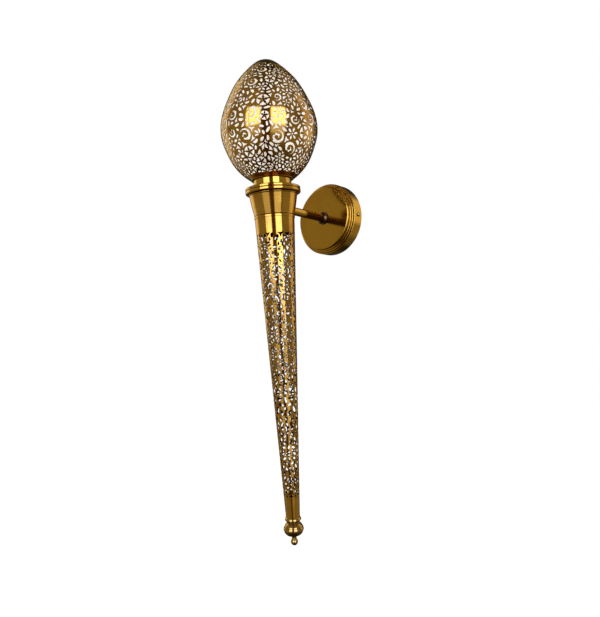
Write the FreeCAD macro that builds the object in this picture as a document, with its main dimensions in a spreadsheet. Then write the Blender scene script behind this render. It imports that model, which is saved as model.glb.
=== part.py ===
import FreeCAD, Part
import Sketcher
import math
import os

# Brass torch wall light, in millimetres.
# Frame: the origin is the centre of the round wall plate's back, on the wall plane Y = 0.
# +Y goes into the wall, +Z is up and the arm runs out along -Y at Z = 0.
# The torch hangs on the arm's end. Its own axis leans 5 degrees, the top away from the wall,
# and every torch piece is drawn in the torch's own axes: r from the axis, z along it,
# with z = 0 where the arm's axis meets the torch's axis.

os.makedirs("parts", exist_ok=True)
doc = FreeCAD.newDocument("torch_sconce")
V = FreeCAD.Vector

# ------------------------------------------------------------------ driving dimensions
sheet = doc.addObject("Spreadsheet::Sheet", "Dims")
DIMENSIONS = [
    # where the torch hangs
    ("reach", 144.0), ("lean", 5.0),
    # wall plate
    ("plate_r", 60.0), ("plate_depth", 28.0), ("plate_band", 18.0), ("plate_face_r", 51.2),
    ("plate_wall", 1.2), ("plate_screw_y", 9.0), ("plate_screw_hole_r", 2.4),
    # crossbar behind the plate
    ("bar_thick", 1.8), ("bar_half_w", 10.0), ("bar_tab_x", 57.5), ("bar_tab_half_w", 7.0),
    ("bar_tab_depth", 15.0), ("tongue_half_w", 14.0), ("tongue_top", 39.0), ("tongue_low", 27.0),
    ("slot_pitch", 60.0), ("slot_width", 5.0), ("slot_length", 12.0), ("cable_hole_r", 6.0),
    ("earth_z", 18.0), ("earth_r", 2.0),
    # side screws
    ("side_r", 2.0), ("side_head_r", 3.3), ("side_head_len", 2.3), ("side_len", 10.5),
    ("tap_clear", 0.05),
    # terminal block
    ("block_w", 21.0), ("block_z", 20.0), ("block_len", 17.0), ("block_depth", 12.5),
    ("pole_x", 5.0),
    # arm
    ("arm_r", 6.5), ("arm_bore", 5.2), ("pipe_r", 5.0), ("pipe_bore", 3.7),
    ("pipe_back", 18.0), ("pipe_front", 121.5), ("collar_r", 10.6), ("collar_len", 7.2),
    ("nut_flats", 14.0), ("nut_thick", 3.0), ("washer_r", 8.6), ("washer_thick", 1.0),
    # leads
    ("lead_r", 2.1), ("lead_y", 5.2), ("lead_bend", 12.0), ("lead_rise_y", 9.6),
    ("earth_wire_r", 1.1),
    # cup
    ("cup_top", 18.6), ("cup_lip_r", 37.4), ("cup_mid_r", 34.0), ("cup_foot_r", 30.5),
    ("cup_foot", 15.3), ("cup_wall", 1.3), ("cup_shoulder_r", 36.8),
    # two-tier rim and the spigot that carries the shade
    ("rim_r", 42.4), ("rim_low", 18.7), ("rim_crease", 24.0), ("rim_high", 28.4),
    ("rim_seat", 31.2), ("spigot_r", 27.4), ("spigot_bore", 25.9), ("spigot_top", 37.5),
    # shade
    ("neck_r", 29.2), ("neck_bore", 27.75), ("neck_top", 40.6), ("shade_foot_r", 33.2),
    ("shade_foot", 41.4), ("shade_r", 75.1), ("shade_belly", 118.5), ("shade_top", 231.5),
    ("shade_wall", 1.2),
    # stem
    ("stem_top", 19.5), ("stem_top_r", 30.43), ("stem_foot", 460.0), ("stem_foot_r", 10.34),
    ("stem_wall", 1.0), ("cap_r", 31.05), ("cap_thick", 2.0), ("cap_spigot", 8.0),
    # foot of the stem
    ("stud_r", 4.0), ("stud_end", 474.0), ("bush_top", 440.0), ("bead_r", 11.6),
    ("bead_low", 466.6), ("vase_r", 14.5), ("vase_z", 476.6), ("ball_r", 5.35),
    ("ball_z", 495.0), ("ball_neck_r", 3.8), ("groove_r", 9.2),
    # lampholder and bulb
    ("nipple_r", 5.0), ("nipple_bore", 3.5), ("nipple_low", 24.5), ("nipple_top", 24.0),
    ("holder_r", 14.0), ("holder_low", 14.0), ("holder_top", 55.0), ("holder_wall", 1.8),
    ("thread_r", 7.25), ("thread_wall", 0.6), ("thread_low", 31.0), ("thread_top", 53.0),
    ("bulb_r", 22.5), ("bulb_z", 88.0), ("bulb_cap_r", 6.95), ("bulb_tip", 31.6),
    ("bulb_cap_top", 58.0), ("bulb_wall", 0.9),
]
values = {}
for row, (name, number) in enumerate(DIMENSIONS, start=1):
    sheet.set("A%d" % row, name)
    sheet.set("B%d" % row, repr(float(number)))
    sheet.setAlias("B%d" % row, name)
    values[name] = float(number)
doc.recompute()


class Dim:
    """A length: its value, and the sheet formula that gives it."""

    def __init__(self, value, text):
        self.value, self.text = value, text

    def __add__(self, other):
        o = as_dim(other)
        return Dim(self.value + o.value, "(%s + %s)" % (self.text, o.text))

    def __sub__(self, other):
        o = as_dim(other)
        return Dim(self.value - o.value, "(%s - %s)" % (self.text, o.text))

    def __mul__(self, k):
        return Dim(self.value * k, "(%s * %s)" % (self.text, repr(float(k))))

    def __neg__(self):
        return Dim(-self.value, "(-1 * %s)" % self.text)


def as_dim(x):
    return x if isinstance(x, Dim) else Dim(float(x), repr(float(x)))


def d(name):
    return Dim(values[name], "Dims." + name)


def bind(obj, **props):
    """Ties properties of an object to the sheet."""
    for prop, dim in props.items():
        obj.setExpression(prop, as_dim(dim).text)
    return obj


TORCH = FreeCAD.Placement(V(0, -values["reach"], 0), FreeCAD.Rotation(V(1, 0, 0), values["lean"]))


def torch_point(r_y, z, x=0.0):
    """World position of a point in the torch's axes."""
    return TORCH.multVec(V(x, r_y, z))


def on_torch(obj):
    obj.Placement = TORCH
    obj.setExpression("Placement.Base.y", "-Dims.reach")
    obj.setExpression("Placement.Rotation.Angle", "Dims.lean")
    return obj


# ------------------------------------------------------------------ sketch helpers
def plane_of(body, role):
    return [f for f in body.Origin.OriginFeatures if f.Role == role][0]


def new_sketch(body, role, name):
    sketch = body.newObject("Sketcher::SketchObject", name)
    sketch.AttachmentSupport = [(plane_of(body, role), "")]
    sketch.MapMode = "FlatFace"
    return sketch


def fix_point(sketch, geo, end, x, y):
    """Pins one end of an edge at x, y from the sketch's origin."""
    for kind, axis, dim in (("DistanceX", -2, as_dim(x)), ("DistanceY", -1, as_dim(y))):
        if abs(dim.value) < 1e-9:
            sketch.addConstraint(Sketcher.Constraint("PointOnObject", geo, end, axis))
            continue
        n = sketch.addConstraint(Sketcher.Constraint(kind, -1, 1, geo, end, dim.value))
        if "Dims." in dim.text:
            sketch.setExpression("Constraints[%d]" % n, dim.text)


def outline(sketch, items):
    """Closed outline from points (x, y), or (x, y, bulge) where the edge to the next point is an
    arc that bulges by that share of its chord, to the right of its direction when positive,
    or (x, y, [inner points]) where it is a smooth spline through those points."""
    pts = [(as_dim(i[0]), as_dim(i[1]), i[2] if len(i) > 2 else None) for i in items]
    n = len(pts)
    geos = []
    for i in range(n):
        x0, y0, shape = pts[i]
        x1, y1, _ = pts[(i + 1) % n]
        p0, p1 = V(x0.value, y0.value, 0), V(x1.value, y1.value, 0)
        if isinstance(shape, list):
            curve = Part.BSplineCurve()
            curve.interpolate([p0] + [V(a, b, 0) for a, b in shape] + [p1])
            geos.append(sketch.addGeometry(curve, False))
        elif shape:
            chord = p1 - p0
            side = V(chord.y, -chord.x, 0)
            mid = (p0 + p1) * 0.5 + side * shape
            geos.append(sketch.addGeometry(Part.Arc(p0, mid, p1), False))
        else:
            geos.append(sketch.addGeometry(Part.LineSegment(p0, p1), False))
    first, last = [], []
    for i in range(n):
        x0, y0, shape = pts[i]
        x1, y1, _ = pts[(i + 1) % n]
        start = V(x0.value, y0.value, 0)
        a = sketch.getPoint(geos[i], 1)
        swap = (a - start).Length > 1e-6
        first.append(2 if swap else 1)
        last.append(1 if swap else 2)
    for i in range(n):
        fix_point(sketch, geos[i], first[i], pts[i][0], pts[i][1])
        sketch.addConstraint(
            Sketcher.Constraint("Coincident", geos[i - 1], last[i - 1], geos[i], first[i]))
    return sketch


def arcs_through(points):
    """Outline points that join every third of these points by an arc through the one between."""
    items = []
    for i in range(0, len(points) - 2, 2):
        (x0, y0), (xm, ym), (x1, y1) = [(as_dim(a).value, as_dim(b).value) for a, b in points[i:i + 3]]
        chord = math.hypot(x1 - x0, y1 - y0)
        u = ((xm - x0) * (x1 - x0) + (ym - y0) * (y1 - y0)) / chord
        v = ((xm - x0) * (y1 - y0) - (ym - y0) * (x1 - x0)) / chord
        k = ((u - chord / 2) ** 2 + v * v - chord * chord / 4) / (2 * v)
        rise = k + math.copysign(math.sqrt(chord * chord / 4 + k * k), v)
        items.append((points[i][0], points[i][1], rise / chord))
    return items


def cap_bulge(start, apex):
    """The bulge of the arc from a point to the top of its axis whose centre is on that axis."""
    across = as_dim(start[0]).value
    up = as_dim(apex[1]).value - as_dim(start[1]).value
    return math.tan(math.atan2(up, across) / 2) / 2


pieces = {}


def body_named(name):
    body = doc.addObject("PartDesign::Body", name)
    body.Label = name
    return body


def turned(name, items, keep=True, torch=True, plane=None):
    """A piece turned about the torch's axis, or about Y for the wall plate and arm."""
    body = body_named(name)
    sketch = new_sketch(body, plane or ("XZ_Plane" if torch else "XY_Plane"), name + "_outline")
    outline(sketch, items)
    rev = body.newObject("PartDesign::Revolution", name + "_turn")
    rev.Profile = sketch
    rev.ReferenceAxis = (sketch, ["V_Axis"])
    rev.Angle = 360
    if torch:
        on_torch(body)
    if keep:
        pieces[name] = body
    return body


def cylinder(name, radius, height, place):
    c = doc.addObject("Part::Cylinder", name)
    bind(c, Radius=radius, Height=height)
    c.Placement = place
    return c


def along(direction, base):
    """Placement whose Z axis points along a direction."""
    return FreeCAD.Placement(base, FreeCAD.Rotation(V(0, 0, 1), direction))


def cut(name, base, tool, keep=True):
    c = doc.addObject("Part::Cut", name)
    c.Base, c.Tool = base, tool
    c.Label = name
    if keep:
        pieces[name] = c
    return c


def group(name, shapes, keep=True):
    c = doc.addObject("Part::Compound", name)
    c.Links = shapes
    c.Label = name
    if keep:
        pieces[name] = c
    return c


# ------------------------------------------------------------------ crossbar on the wall
bar = body_named("crossbar")
sk = new_sketch(bar, "XZ_Plane", "crossbar_outline")
hw, tw = d("bar_half_w"), d("tongue_half_w")
end = d("bar_tab_x")
outline(sk, [
    (-end, -d("bar_tab_half_w")), (-end + 9, -hw), (-tw - 5, -hw), (-tw, -hw - 5),
    (-tw, -d("tongue_low") + 5), (-tw + 5, -d("tongue_low")),
    (tw - 5, -d("tongue_low")), (tw, -d("tongue_low") + 5), (tw, -hw - 5), (tw + 5, -hw),
    (end - 9, -hw), (end, -d("bar_tab_half_w")), (end, d("bar_tab_half_w")), (end - 9, hw),
    (tw + 5, hw), (tw, hw + 5), (tw, d("tongue_top") - 5), (tw - 5, d("tongue_top")),
    (-tw + 5, d("tongue_top")), (-tw, d("tongue_top") - 5), (-tw, hw + 5), (-tw - 5, hw),
    (-end + 9, hw), (-end, d("bar_tab_half_w")),
])
pad = bar.newObject("PartDesign::Pad", "crossbar_sheet")
pad.Profile = sk
bind(pad, Length=d("bar_thick"))
doc.recompute()
# the sheet lies in front of the wall plane, on its -Y side
if bar.Shape.BoundBox.YMax > 0.5:
    pad.Reversed = True
doc.recompute()
flat_volume = bar.Shape.Volume
# cable hole, two slots for the wall screws, and the tapped earth hole
sk = new_sketch(bar, "XZ_Plane", "crossbar_holes")
hole = sk.addGeometry(Part.Circle(V(0, 0, 0), V(0, 0, 1), values["cable_hole_r"]), False)
sk.addConstraint(Sketcher.Constraint("Coincident", hole, 3, -1, 1))
k = sk.addConstraint(Sketcher.Constraint("Radius", hole, values["cable_hole_r"]))
sk.setExpression("Constraints[%d]" % k, "Dims.cable_hole_r")
hole = sk.addGeometry(Part.Circle(V(0, -values["earth_z"], 0), V(0, 0, 1), values["earth_r"] + 0.03), False)
fix_point(sk, hole, 3, 0, -d("earth_z"))
k = sk.addConstraint(Sketcher.Constraint("Radius", hole, values["earth_r"] + 0.03))
sk.setExpression("Constraints[%d]" % k, "Dims.earth_r + 0.03")
for sign in (-1, 1):
    cx, r = sign * values["slot_pitch"] / 2, values["slot_width"] / 2
    half = values["slot_length"] / 2 - r
    top = sk.addGeometry(Part.LineSegment(V(cx - half, r, 0), V(cx + half, r, 0)), False)
    low = sk.addGeometry(Part.LineSegment(V(cx - half, -r, 0), V(cx + half, -r, 0)), False)
    right = sk.addGeometry(Part.Arc(V(cx + half, -r, 0), V(cx + half + r, 0, 0), V(cx + half, r, 0)), False)
    left = sk.addGeometry(Part.Arc(V(cx - half, r, 0), V(cx - half - r, 0, 0), V(cx - half, -r, 0)), False)
    reach_x = Dim(cx, "(%d * Dims.slot_pitch / 2)" % sign)
    run = d("slot_length") * 0.5 - d("slot_width") * 0.5
    for line, y in ((top, d("slot_width") * 0.5), (low, d("slot_width") * -0.5)):
        fix_point(sk, line, 1, reach_x - run, y)
        fix_point(sk, line, 2, reach_x + run, y)
    for arc in (right, left):
        for endpoint in (1, 2):
            at = sk.getPoint(arc, endpoint)
            line = top if at.y > 0 else low
            side = 2 if at.x > cx else 1
            sk.addConstraint(Sketcher.Constraint("Coincident", arc, endpoint, line, side))
doc.recompute()
pocket = bar.newObject("PartDesign::Pocket", "crossbar_punched")
pocket.Profile = sk
pocket.Type = "ThroughAll"
pocket.SideType = "Symmetric"
doc.recompute()
if bar.Shape.Volume > flat_volume - 50:
    raise RuntimeError("the crossbar's holes cut nothing")
# two ears bent forward, tapped for the side screws
for sign, word in ((-1, "left"), (1, "right")):
    sk = new_sketch(bar, "XY_Plane", "ear_%s_outline" % word)
    x0, x1 = d("bar_tab_x") * sign, (d("bar_tab_x") - d("bar_thick")) * sign
    outline(sk, [(x0, 0), (x0, -d("bar_tab_depth")), (x1, -d("bar_tab_depth")), (x1, 0)])
    ear = bar.newObject("PartDesign::Pad", "ear_" + word)
    ear.Profile = sk
    ear.SideType = "Symmetric"
    bind(ear, Length=d("bar_tab_half_w") * 2)
doc.recompute()
before = bar.Shape.Volume
sk = new_sketch(bar, "YZ_Plane", "ear_holes")
hole = sk.addGeometry(Part.Circle(V(-values["plate_screw_y"], 0, 0), V(0, 0, 1),
                                  values["side_r"] + values["tap_clear"]), False)
fix_point(sk, hole, 3, -d("plate_screw_y"), 0)
k = sk.addConstraint(Sketcher.Constraint("Radius", hole, values["side_r"] + values["tap_clear"]))
sk.setExpression("Constraints[%d]" % k, "Dims.side_r + Dims.tap_clear")
doc.recompute()
pocket = bar.newObject("PartDesign::Pocket", "ear_tapped")
pocket.Profile = sk
pocket.Type = "ThroughAll"
pocket.SideType = "Symmetric"
doc.recompute()
if bar.Shape.Volume > before - 20:
    raise RuntimeError("the ears' holes cut nothing")
pieces["crossbar"] = bar


# ------------------------------------------------------------------ small turned fasteners
def screw(name, axis, head_at, stem_r, head_r, head_len, length, slot=0.8):
    """Slotted pan-head screw: the head stands out along axis from head_at, the stem runs back."""
    sr, hr, hl, ln = as_dim(stem_r), as_dim(head_r), as_dim(head_len), as_dim(length)
    body = body_named(name + "_blank")
    sketch = new_sketch(body, "XZ_Plane", name + "_outline")
    outline(sketch, [
        (0, -ln), (sr - 0.5, -ln), (sr, -ln + 0.6), (sr, 0), (hr, 0), (hr, hl * 0.45, 0.12),
        (hr * 0.55, hl * 0.96), (0, hl),
    ])
    rev = body.newObject("PartDesign::Revolution", name + "_turn")
    rev.Profile = sketch
    rev.ReferenceAxis = (sketch, ["V_Axis"])
    rev.Angle = 360
    box = doc.addObject("Part::Box", name + "_driver")
    bind(box, Length=hr * 2.4, Width=slot, Height=hl)
    box.Placement = FreeCAD.Placement(V(-hr.value * 1.2, -slot / 2, hl.value * 0.5), FreeCAD.Rotation())
    c = doc.addObject("Part::Cut", name)
    c.Base, c.Tool = body, box
    c.Placement = along(axis, head_at)
    return c


s = screw("earth_screw", V(0, -1, 0), V(0, -values["bar_thick"] - 0.8, -values["earth_z"]),
          d("earth_r"), 3.6, 2.2, d("bar_thick") + 4.0 - 3.2)
s.Label = "earth_screw"
pieces["earth_screw"] = s

for sign, word in ((-1, "left"), (1, "right")):
    s = screw("side_screw_" + word, V(sign, 0, 0),
              V(sign * (values["plate_r"] + 0.1), -values["plate_screw_y"], 0),
              d("side_r"), d("side_head_r"), d("side_head_len"), d("side_len"))
    s.Label = "side_screw_" + word
    pieces["side_screw_" + word] = s

# ------------------------------------------------------------------ terminal block
block = body_named("terminal_housing")
sk = new_sketch(block, "XY_Plane", "terminal_outline")
bw, bt = d("block_w") * 0.5, d("bar_thick")
outline(sk, [
    (-bw, -bt), (-bw, -bt - d("block_depth") + 3), (-bw + 1.5, -bt - d("block_depth")),
    (-1.2, -bt - d("block_depth")), (-0.6, -bt - d("block_depth") + 2),
    (0.6, -bt - d("block_depth") + 2), (1.2, -bt - d("block_depth")),
    (bw - 1.5, -bt - d("block_depth")), (bw, -bt - d("block_depth") + 3), (bw, -bt),
])
pad = block.newObject("PartDesign::Pad", "terminal_pad")
pad.Profile = sk
bind(pad, Length=d("block_len"))
block.Placement = FreeCAD.Placement(V(0, 0, values["block_z"]), FreeCAD.Rotation())
block.setExpression("Placement.Base.z", "Dims.block_z")
tools = []
for sign in (-1, 1):
    x = sign * values["pole_x"]
    tools.append(cylinder("wire_way_%d" % (sign + 1), 1.7, d("block_len") + 4,
                          along(V(0, 0, 1), V(x, -values["bar_thick"] - 5.5, values["block_z"] - 2))))
    for n, z in enumerate((5.0, 12.0)):
        tools.append(cylinder("screw_well_%d_%d" % (sign + 1, n), 2.3, 8.0,
                              along(V(0, 1, 0), V(x, -values["bar_thick"] - values["block_depth"] - 1,
                                                  values["block_z"] + z))))
cut("terminal_block", block, group("terminal_wells", tools, keep=False))
screws = []
for sign in (-1, 1):
    for n, z in enumerate((5.0, 12.0)):
        screws.append(screw("clamp_screw_%d_%d" % (sign + 1, n), V(0, -1, 0),
                            V(sign * values["pole_x"], -values["bar_thick"] - 7.6, values["block_z"] + z),
                            1.3, 2.1, 1.6, 1.8, slot=0.6))
group("terminal_screws", screws)

# ------------------------------------------------------------------ wall plate
pr, pf, pd, pw = d("plate_r"), d("plate_face_r"), d("plate_depth"), d("plate_wall")
band = d("plate_band")
plate = turned("wall_plate", [
    (pr - 1.2, 0), (pr - 0.3, 0), (pr, -0.3), (pr, -band, -0.2), (pr - 1.0, -band - 1.0),
    (pr - 2.1, -band - 1.0), (pr - 2.1, -band - 2.2, -0.2), (pr - 3.3, -band - 3.4),
    (pr - 4.6, -band - 3.6), (pr - 4.6, -band - 4.8, -0.2), (pr - 5.8, -band - 6.0),
    (pf + 2.0, -band - 6.2), (pf + 2.0, -pd + 2.2, -0.2), (pf - 0.2, -pd),
    (d("arm_bore"), -pd), (d("arm_bore"), -pd + pw), (pf - 2.4, -pd + pw),
    (pf + 0.4, -band - 5.0), (pr - 6.0, -band - 3.2), (pr - 3.4, -band + 0.1), (pr - 1.2, -band + 1.2),
], keep=False, torch=False)
doc.recompute()
before = plate.Shape.Volume
sk = new_sketch(plate, "YZ_Plane", "plate_side_holes")
hole = sk.addGeometry(Part.Circle(V(-values["plate_screw_y"], 0, 0), V(0, 0, 1),
                                  values["plate_screw_hole_r"]), False)
fix_point(sk, hole, 3, -d("plate_screw_y"), 0)
k = sk.addConstraint(Sketcher.Constraint("Radius", hole, values["plate_screw_hole_r"]))
sk.setExpression("Constraints[%d]" % k, "Dims.plate_screw_hole_r")
doc.recompute()
pocket = plate.newObject("PartDesign::Pocket", "plate_side_drilled")
pocket.Profile = sk
pocket.Type = "ThroughAll"
pocket.SideType = "Symmetric"
doc.recompute()
if plate.Shape.Volume > before - 30:
    raise RuntimeError("the plate's side holes cut nothing")
pieces["wall_plate"] = plate

# ------------------------------------------------------------------ arm
pd_, cl = d("plate_depth"), d("collar_len")
turned("arm_collar", [
    (d("arm_bore"), -pd_), (d("collar_r") - 0.6, -pd_), (d("collar_r"), -pd_ - 0.7),
    (d("collar_r"), -pd_ - 2.2, 0.18), (d("arm_r") + 0.9, -pd_ - cl),
    (d("arm_r") + 0.05, -pd_ - cl), (d("arm_r") + 0.05, -pd_ - 2.5), (d("arm_bore"), -pd_ - 2.5),
], torch=False)

turned("threaded_pipe", [
    (d("pipe_bore"), -d("pipe_back")), (d("pipe_r") - 0.5, -d("pipe_back")),
    (d("pipe_r"), -d("pipe_back") - 0.6), (d("pipe_r"), -d("pipe_front") + 0.6),
    (d("pipe_r") - 0.5, -d("pipe_front")), (d("pipe_bore"), -d("pipe_front")),
], torch=False)

arm_blank = turned("arm_blank", [
    (d("arm_bore"), -pd_ - 2.5), (d("arm_r"), -pd_ - 2.5), (d("arm_r"), -d("reach") + 20),
    (d("arm_bore"), -d("reach") + 20),
], keep=False, torch=False)
# the arm's front end is cut to the cup's round, sloping wall
cup_core = turned("cup_core", [
    (0, -d("cup_foot")), (d("cup_foot_r"), -d("cup_foot")), (d("cup_mid_r"), 0),
    (d("cup_shoulder_r"), 16.0), (0, 16.0),
], keep=False)
cut("arm_tube", arm_blank, cup_core)

# ------------------------------------------------------------------ cup
cw, cf, ct = d("cup_wall"), d("cup_foot"), d("cup_top")
cup_blank = turned("cup_blank", [
    (d("nipple_r") + 0.2, -cf), (d("cup_foot_r") - 1.0, -cf, 0.2), (d("cup_foot_r") + 0.2, -cf + 0.9),
    (d("cup_mid_r"), 0), (d("cup_shoulder_r") - 0.1, 15.6), (d("cup_lip_r"), 16.6, 0.35),
    (d("cup_lip_r"), 18.2), (d("cup_lip_r") - 0.5, ct), (d("cup_lip_r") - 2.0, ct),
    (d("cup_shoulder_r") - 0.1 - cw, 15.6), (d("cup_mid_r") - cw, 0),
    (d("cup_foot_r") + 0.3 - cw, -cf + 2.0), (d("cup_foot_r") - 1.0 - cw, -cf + cw),
    (d("nipple_r") + 0.2, -cf + cw),
], keep=False)
arm_way = cylinder("arm_way", d("arm_bore"), 30.0, along(V(0, 1, 0), V(0, -values["reach"] + 20, 0)))
cut("cup", cup_blank, arm_way)

# saddle washer: one face follows the inside of the cup, the other is flat for the nut
saddle_core = turned("saddle_core", [
    (0, -cf + 2.0), (d("cup_foot_r") + 0.3 - cw, -cf + 2.0), (d("cup_mid_r") - cw, 0),
    (d("cup_shoulder_r") - 0.1 - cw, 15.6), (0, 15.6),
], keep=False)
saddle_rod = cylinder("saddle_rod", d("washer_r"), 14.0, along(V(0, 1, 0), V(0, -117.6, 0)))
saddle = doc.addObject("Part::Common", "saddle_blank")
saddle.Base, saddle.Tool = saddle_rod, saddle_core
cut("saddle_washer", saddle, cylinder("saddle_hole", d("pipe_r") + 0.2, 40.0,
                                      along(V(0, 1, 0), V(0, -130, 0))))


# ------------------------------------------------------------------ lock nuts and washers
def hex_nut(name, place):
    body = doc.addObject("Part::Prism", name + "_hex")
    body.Polygon = 6
    bind(body, Circumradius=d("nut_flats") * 0.57735, Height=d("nut_thick"))
    hole = cylinder(name + "_hole", d("pipe_r"), d("nut_thick") + 2, FreeCAD.Placement(V(0, 0, -1), FreeCAD.Rotation()))
    blank = doc.addObject("Part::Cut", name + "_drilled")
    blank.Base, blank.Tool = body, hole
    # the corners are turned down at both faces
    cone = body_named(name + "_cone")
    sketch = new_sketch(cone, "XZ_Plane", name + "_cone_outline")
    r, h = d("nut_flats") * 0.5, d("nut_thick")
    outline(sketch, [(0, 0), (r - 0.1, 0), (r + 1.2, 0.7), (r + 1.2, h - 0.7), (r - 0.1, h), (0, h)])
    rev = cone.newObject("PartDesign::Revolution", name + "_cone_turn")
    rev.Profile = sketch
    rev.ReferenceAxis = (sketch, ["V_Axis"])
    rev.Angle = 360
    c = doc.addObject("Part::Common", name)
    c.Base, c.Tool = blank, cone
    c.Placement = place
    return c


def washer(name, place):
    outer = cylinder(name + "_disc", d("washer_r"), d("washer_thick"), FreeCAD.Placement())
    hole = cylinder(name + "_hole", d("pipe_r") + 0.25, d("washer_thick") + 2,
                    FreeCAD.Placement(V(0, 0, -1), FreeCAD.Rotation()))
    c = doc.addObject("Part::Cut", name)
    c.Base, c.Tool = outer, hole
    c.Placement = place
    return c


TAG = 0.8
plate_back = -values["plate_depth"] + values["plate_wall"]
AXIS = TORCH.Rotation.multVec(V(0, 0, 1))
cup_floor = -values["cup_foot"] + values["cup_wall"]
cap_low = -values["cup_foot"] - 0.1 - values["cap_thick"]
group("lock_nuts", [
    hex_nut("plate_nut", along(V(0, 1, 0), V(0, plate_back + TAG + values["washer_thick"], 0))),
    hex_nut("arm_nut", along(V(0, 1, 0), V(0, -117.6 - values["nut_thick"], 0))),
    hex_nut("cup_nut", along(AXIS, torch_point(0, cup_floor + values["washer_thick"]))),
    hex_nut("stem_nut", along(AXIS, torch_point(0, cap_low - values["washer_thick"] - values["nut_thick"]))),
])
group("lock_washers", [
    washer("plate_washer", along(V(0, 1, 0), V(0, plate_back + TAG, 0))),
    washer("cup_washer", along(AXIS, torch_point(0, cup_floor))),
    washer("stem_washer", along(AXIS, torch_point(0, cap_low - values["washer_thick"]))),
])


# ------------------------------------------------------------------ earth tags and wire
def tag(name, y_front, z, hole_r, tail_from, tail_to):
    """Ring tag in the plane Y = y_front, its tail running down from the ring."""
    ring = doc.addObject("Part::Cylinder", name + "_ring")
    bind(ring, Radius=hole_r + 2.4, Height=TAG)
    ring.Placement = along(V(0, 1, 0), V(0, y_front, z))
    tail = doc.addObject("Part::Box", name + "_tail")
    tail.Length, tail.Width, tail.Height = 3.2, TAG, abs(tail_to - tail_from)
    tail.Placement = FreeCAD.Placement(V(-1.6, y_front, min(tail_from, tail_to)), FreeCAD.Rotation())
    both = doc.addObject("Part::Fuse", name + "_blank")
    both.Base, both.Tool = ring, tail
    hole = cylinder(name + "_hole", hole_r, 4.0, along(V(0, 1, 0), V(0, y_front - 1, z)))
    c = doc.addObject("Part::Cut", name)
    c.Base, c.Tool = both, hole
    return c


low_tag_y = -values["bar_thick"] - TAG
group("earth_tags", [
    tag("plate_tag", plate_back, 0.0, values["pipe_r"] + 0.25, -6.5, -14.0),
    tag("bar_tag", low_tag_y, -values["earth_z"], values["earth_r"] + 0.2, -values["earth_z"] - 3.0,
        -values["earth_z"] - 8.0),
])


def path_piece(name, points, bends, radius, place=None):
    """A round lead along straight runs joined by tangent arcs, in the plane X = 0.
    points are (y, z) and bends the radius at each inner point."""
    body = body_named(name)
    spine = new_sketch(body, "YZ_Plane", name + "_route")
    pts = [V(y, z, 0) for y, z in points]
    joints = [(pts[0], pts[0])]
    arcs, total = [], 0.0
    for i in range(1, len(pts) - 1):
        a, b, c = pts[i - 1], pts[i], pts[i + 1]
        u, w = (a - b).normalize(), (c - b).normalize()
        half = (math.pi - u.getAngle(w)) / 2.0
        cut_back = bends[i - 1] * math.tan(half)
        start, stop = b + u * cut_back, b + w * cut_back
        bis = (u + w).normalize()
        centre = b + bis * (bends[i - 1] / math.cos(half))
        mid = centre - bis * bends[i - 1]
        joints.append((start, stop))
        arcs.append((start, mid, stop))
        total += bends[i - 1] * 2 * half
        print("%s: bend of radius %.1f mm, %.0f degrees" % (name, bends[i - 1], math.degrees(2 * half)))
    joints.append((pts[-1], pts[-1]))
    for i in range(len(joints) - 1):
        p, q = joints[i][1], joints[i + 1][0]
        total += (q - p).Length
        spine.addGeometry(Part.LineSegment(p, q), False)
        if i < len(arcs):
            spine.addGeometry(Part.Arc(*arcs[i]), False)
    edges = spine.Geometry
    for i in range(len(edges)):
        spine.addConstraint(Sketcher.Constraint("Block", i))
    doc.recompute()
    first = (joints[1][0] - joints[0][1]).normalize()
    round_sketch = body.newObject("Sketcher::SketchObject", name + "_section")
    world = V(0, first.x, first.y)
    base = V(0, pts[0].x, pts[0].y)
    round_sketch.Placement = along(world, base)
    c = round_sketch.addGeometry(Part.Circle(V(0, 0, 0), V(0, 0, 1), radius.value), False)
    round_sketch.addConstraint(Sketcher.Constraint("Coincident", c, 3, -1, 1))
    k = round_sketch.addConstraint(Sketcher.Constraint("Radius", c, radius.value))
    round_sketch.setExpression("Constraints[%d]" % k, radius.text)
    doc.recompute()
    pipe = body.newObject("PartDesign::AdditivePipe", name + "_sweep")
    pipe.Profile = round_sketch
    pipe.Spine = (spine, ["Edge%d" % (i + 1) for i in range(len(edges))])
    doc.recompute()
    want = math.pi * radius.value ** 2 * total
    got = body.Shape.Volume
    print("%s: length %.1f mm, volume %.1f mm3 against %.1f" % (name, total, got, want))
    if abs(got - want) > 0.02 * want:
        raise RuntimeError(name + " has the wrong volume")
    pieces[name] = body
    return body


# the lamp's lead: terminal block, down behind the plate, through the pipe, up to the lampholder
lean = math.radians(values["lean"])
corner_y = -values["reach"] + values["lead_rise_y"] / math.cos(lean)
top_pt = torch_point(values["lead_rise_y"], values["holder_low"])
path_piece("lamp_lead", [
    (-values["bar_thick"] - values["lead_y"], values["block_z"]),
    (-values["bar_thick"] - values["lead_y"], 0.0),
    (corner_y, 0.0),
    (top_pt.y, top_pt.z),
], [values["lead_bend"], values["lead_bend"]], d("lead_r"))
path_piece("earth_wire", [
    (plate_back + 1.25, -14.0),
    (plate_back + 2.0, -37.0),
    (-values["bar_thick"] - 2.0, -37.0),
    (-values["bar_thick"] - 1.25, -values["earth_z"] - 8.0),
], [9.0, 7.0], d("earth_wire_r"))

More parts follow.
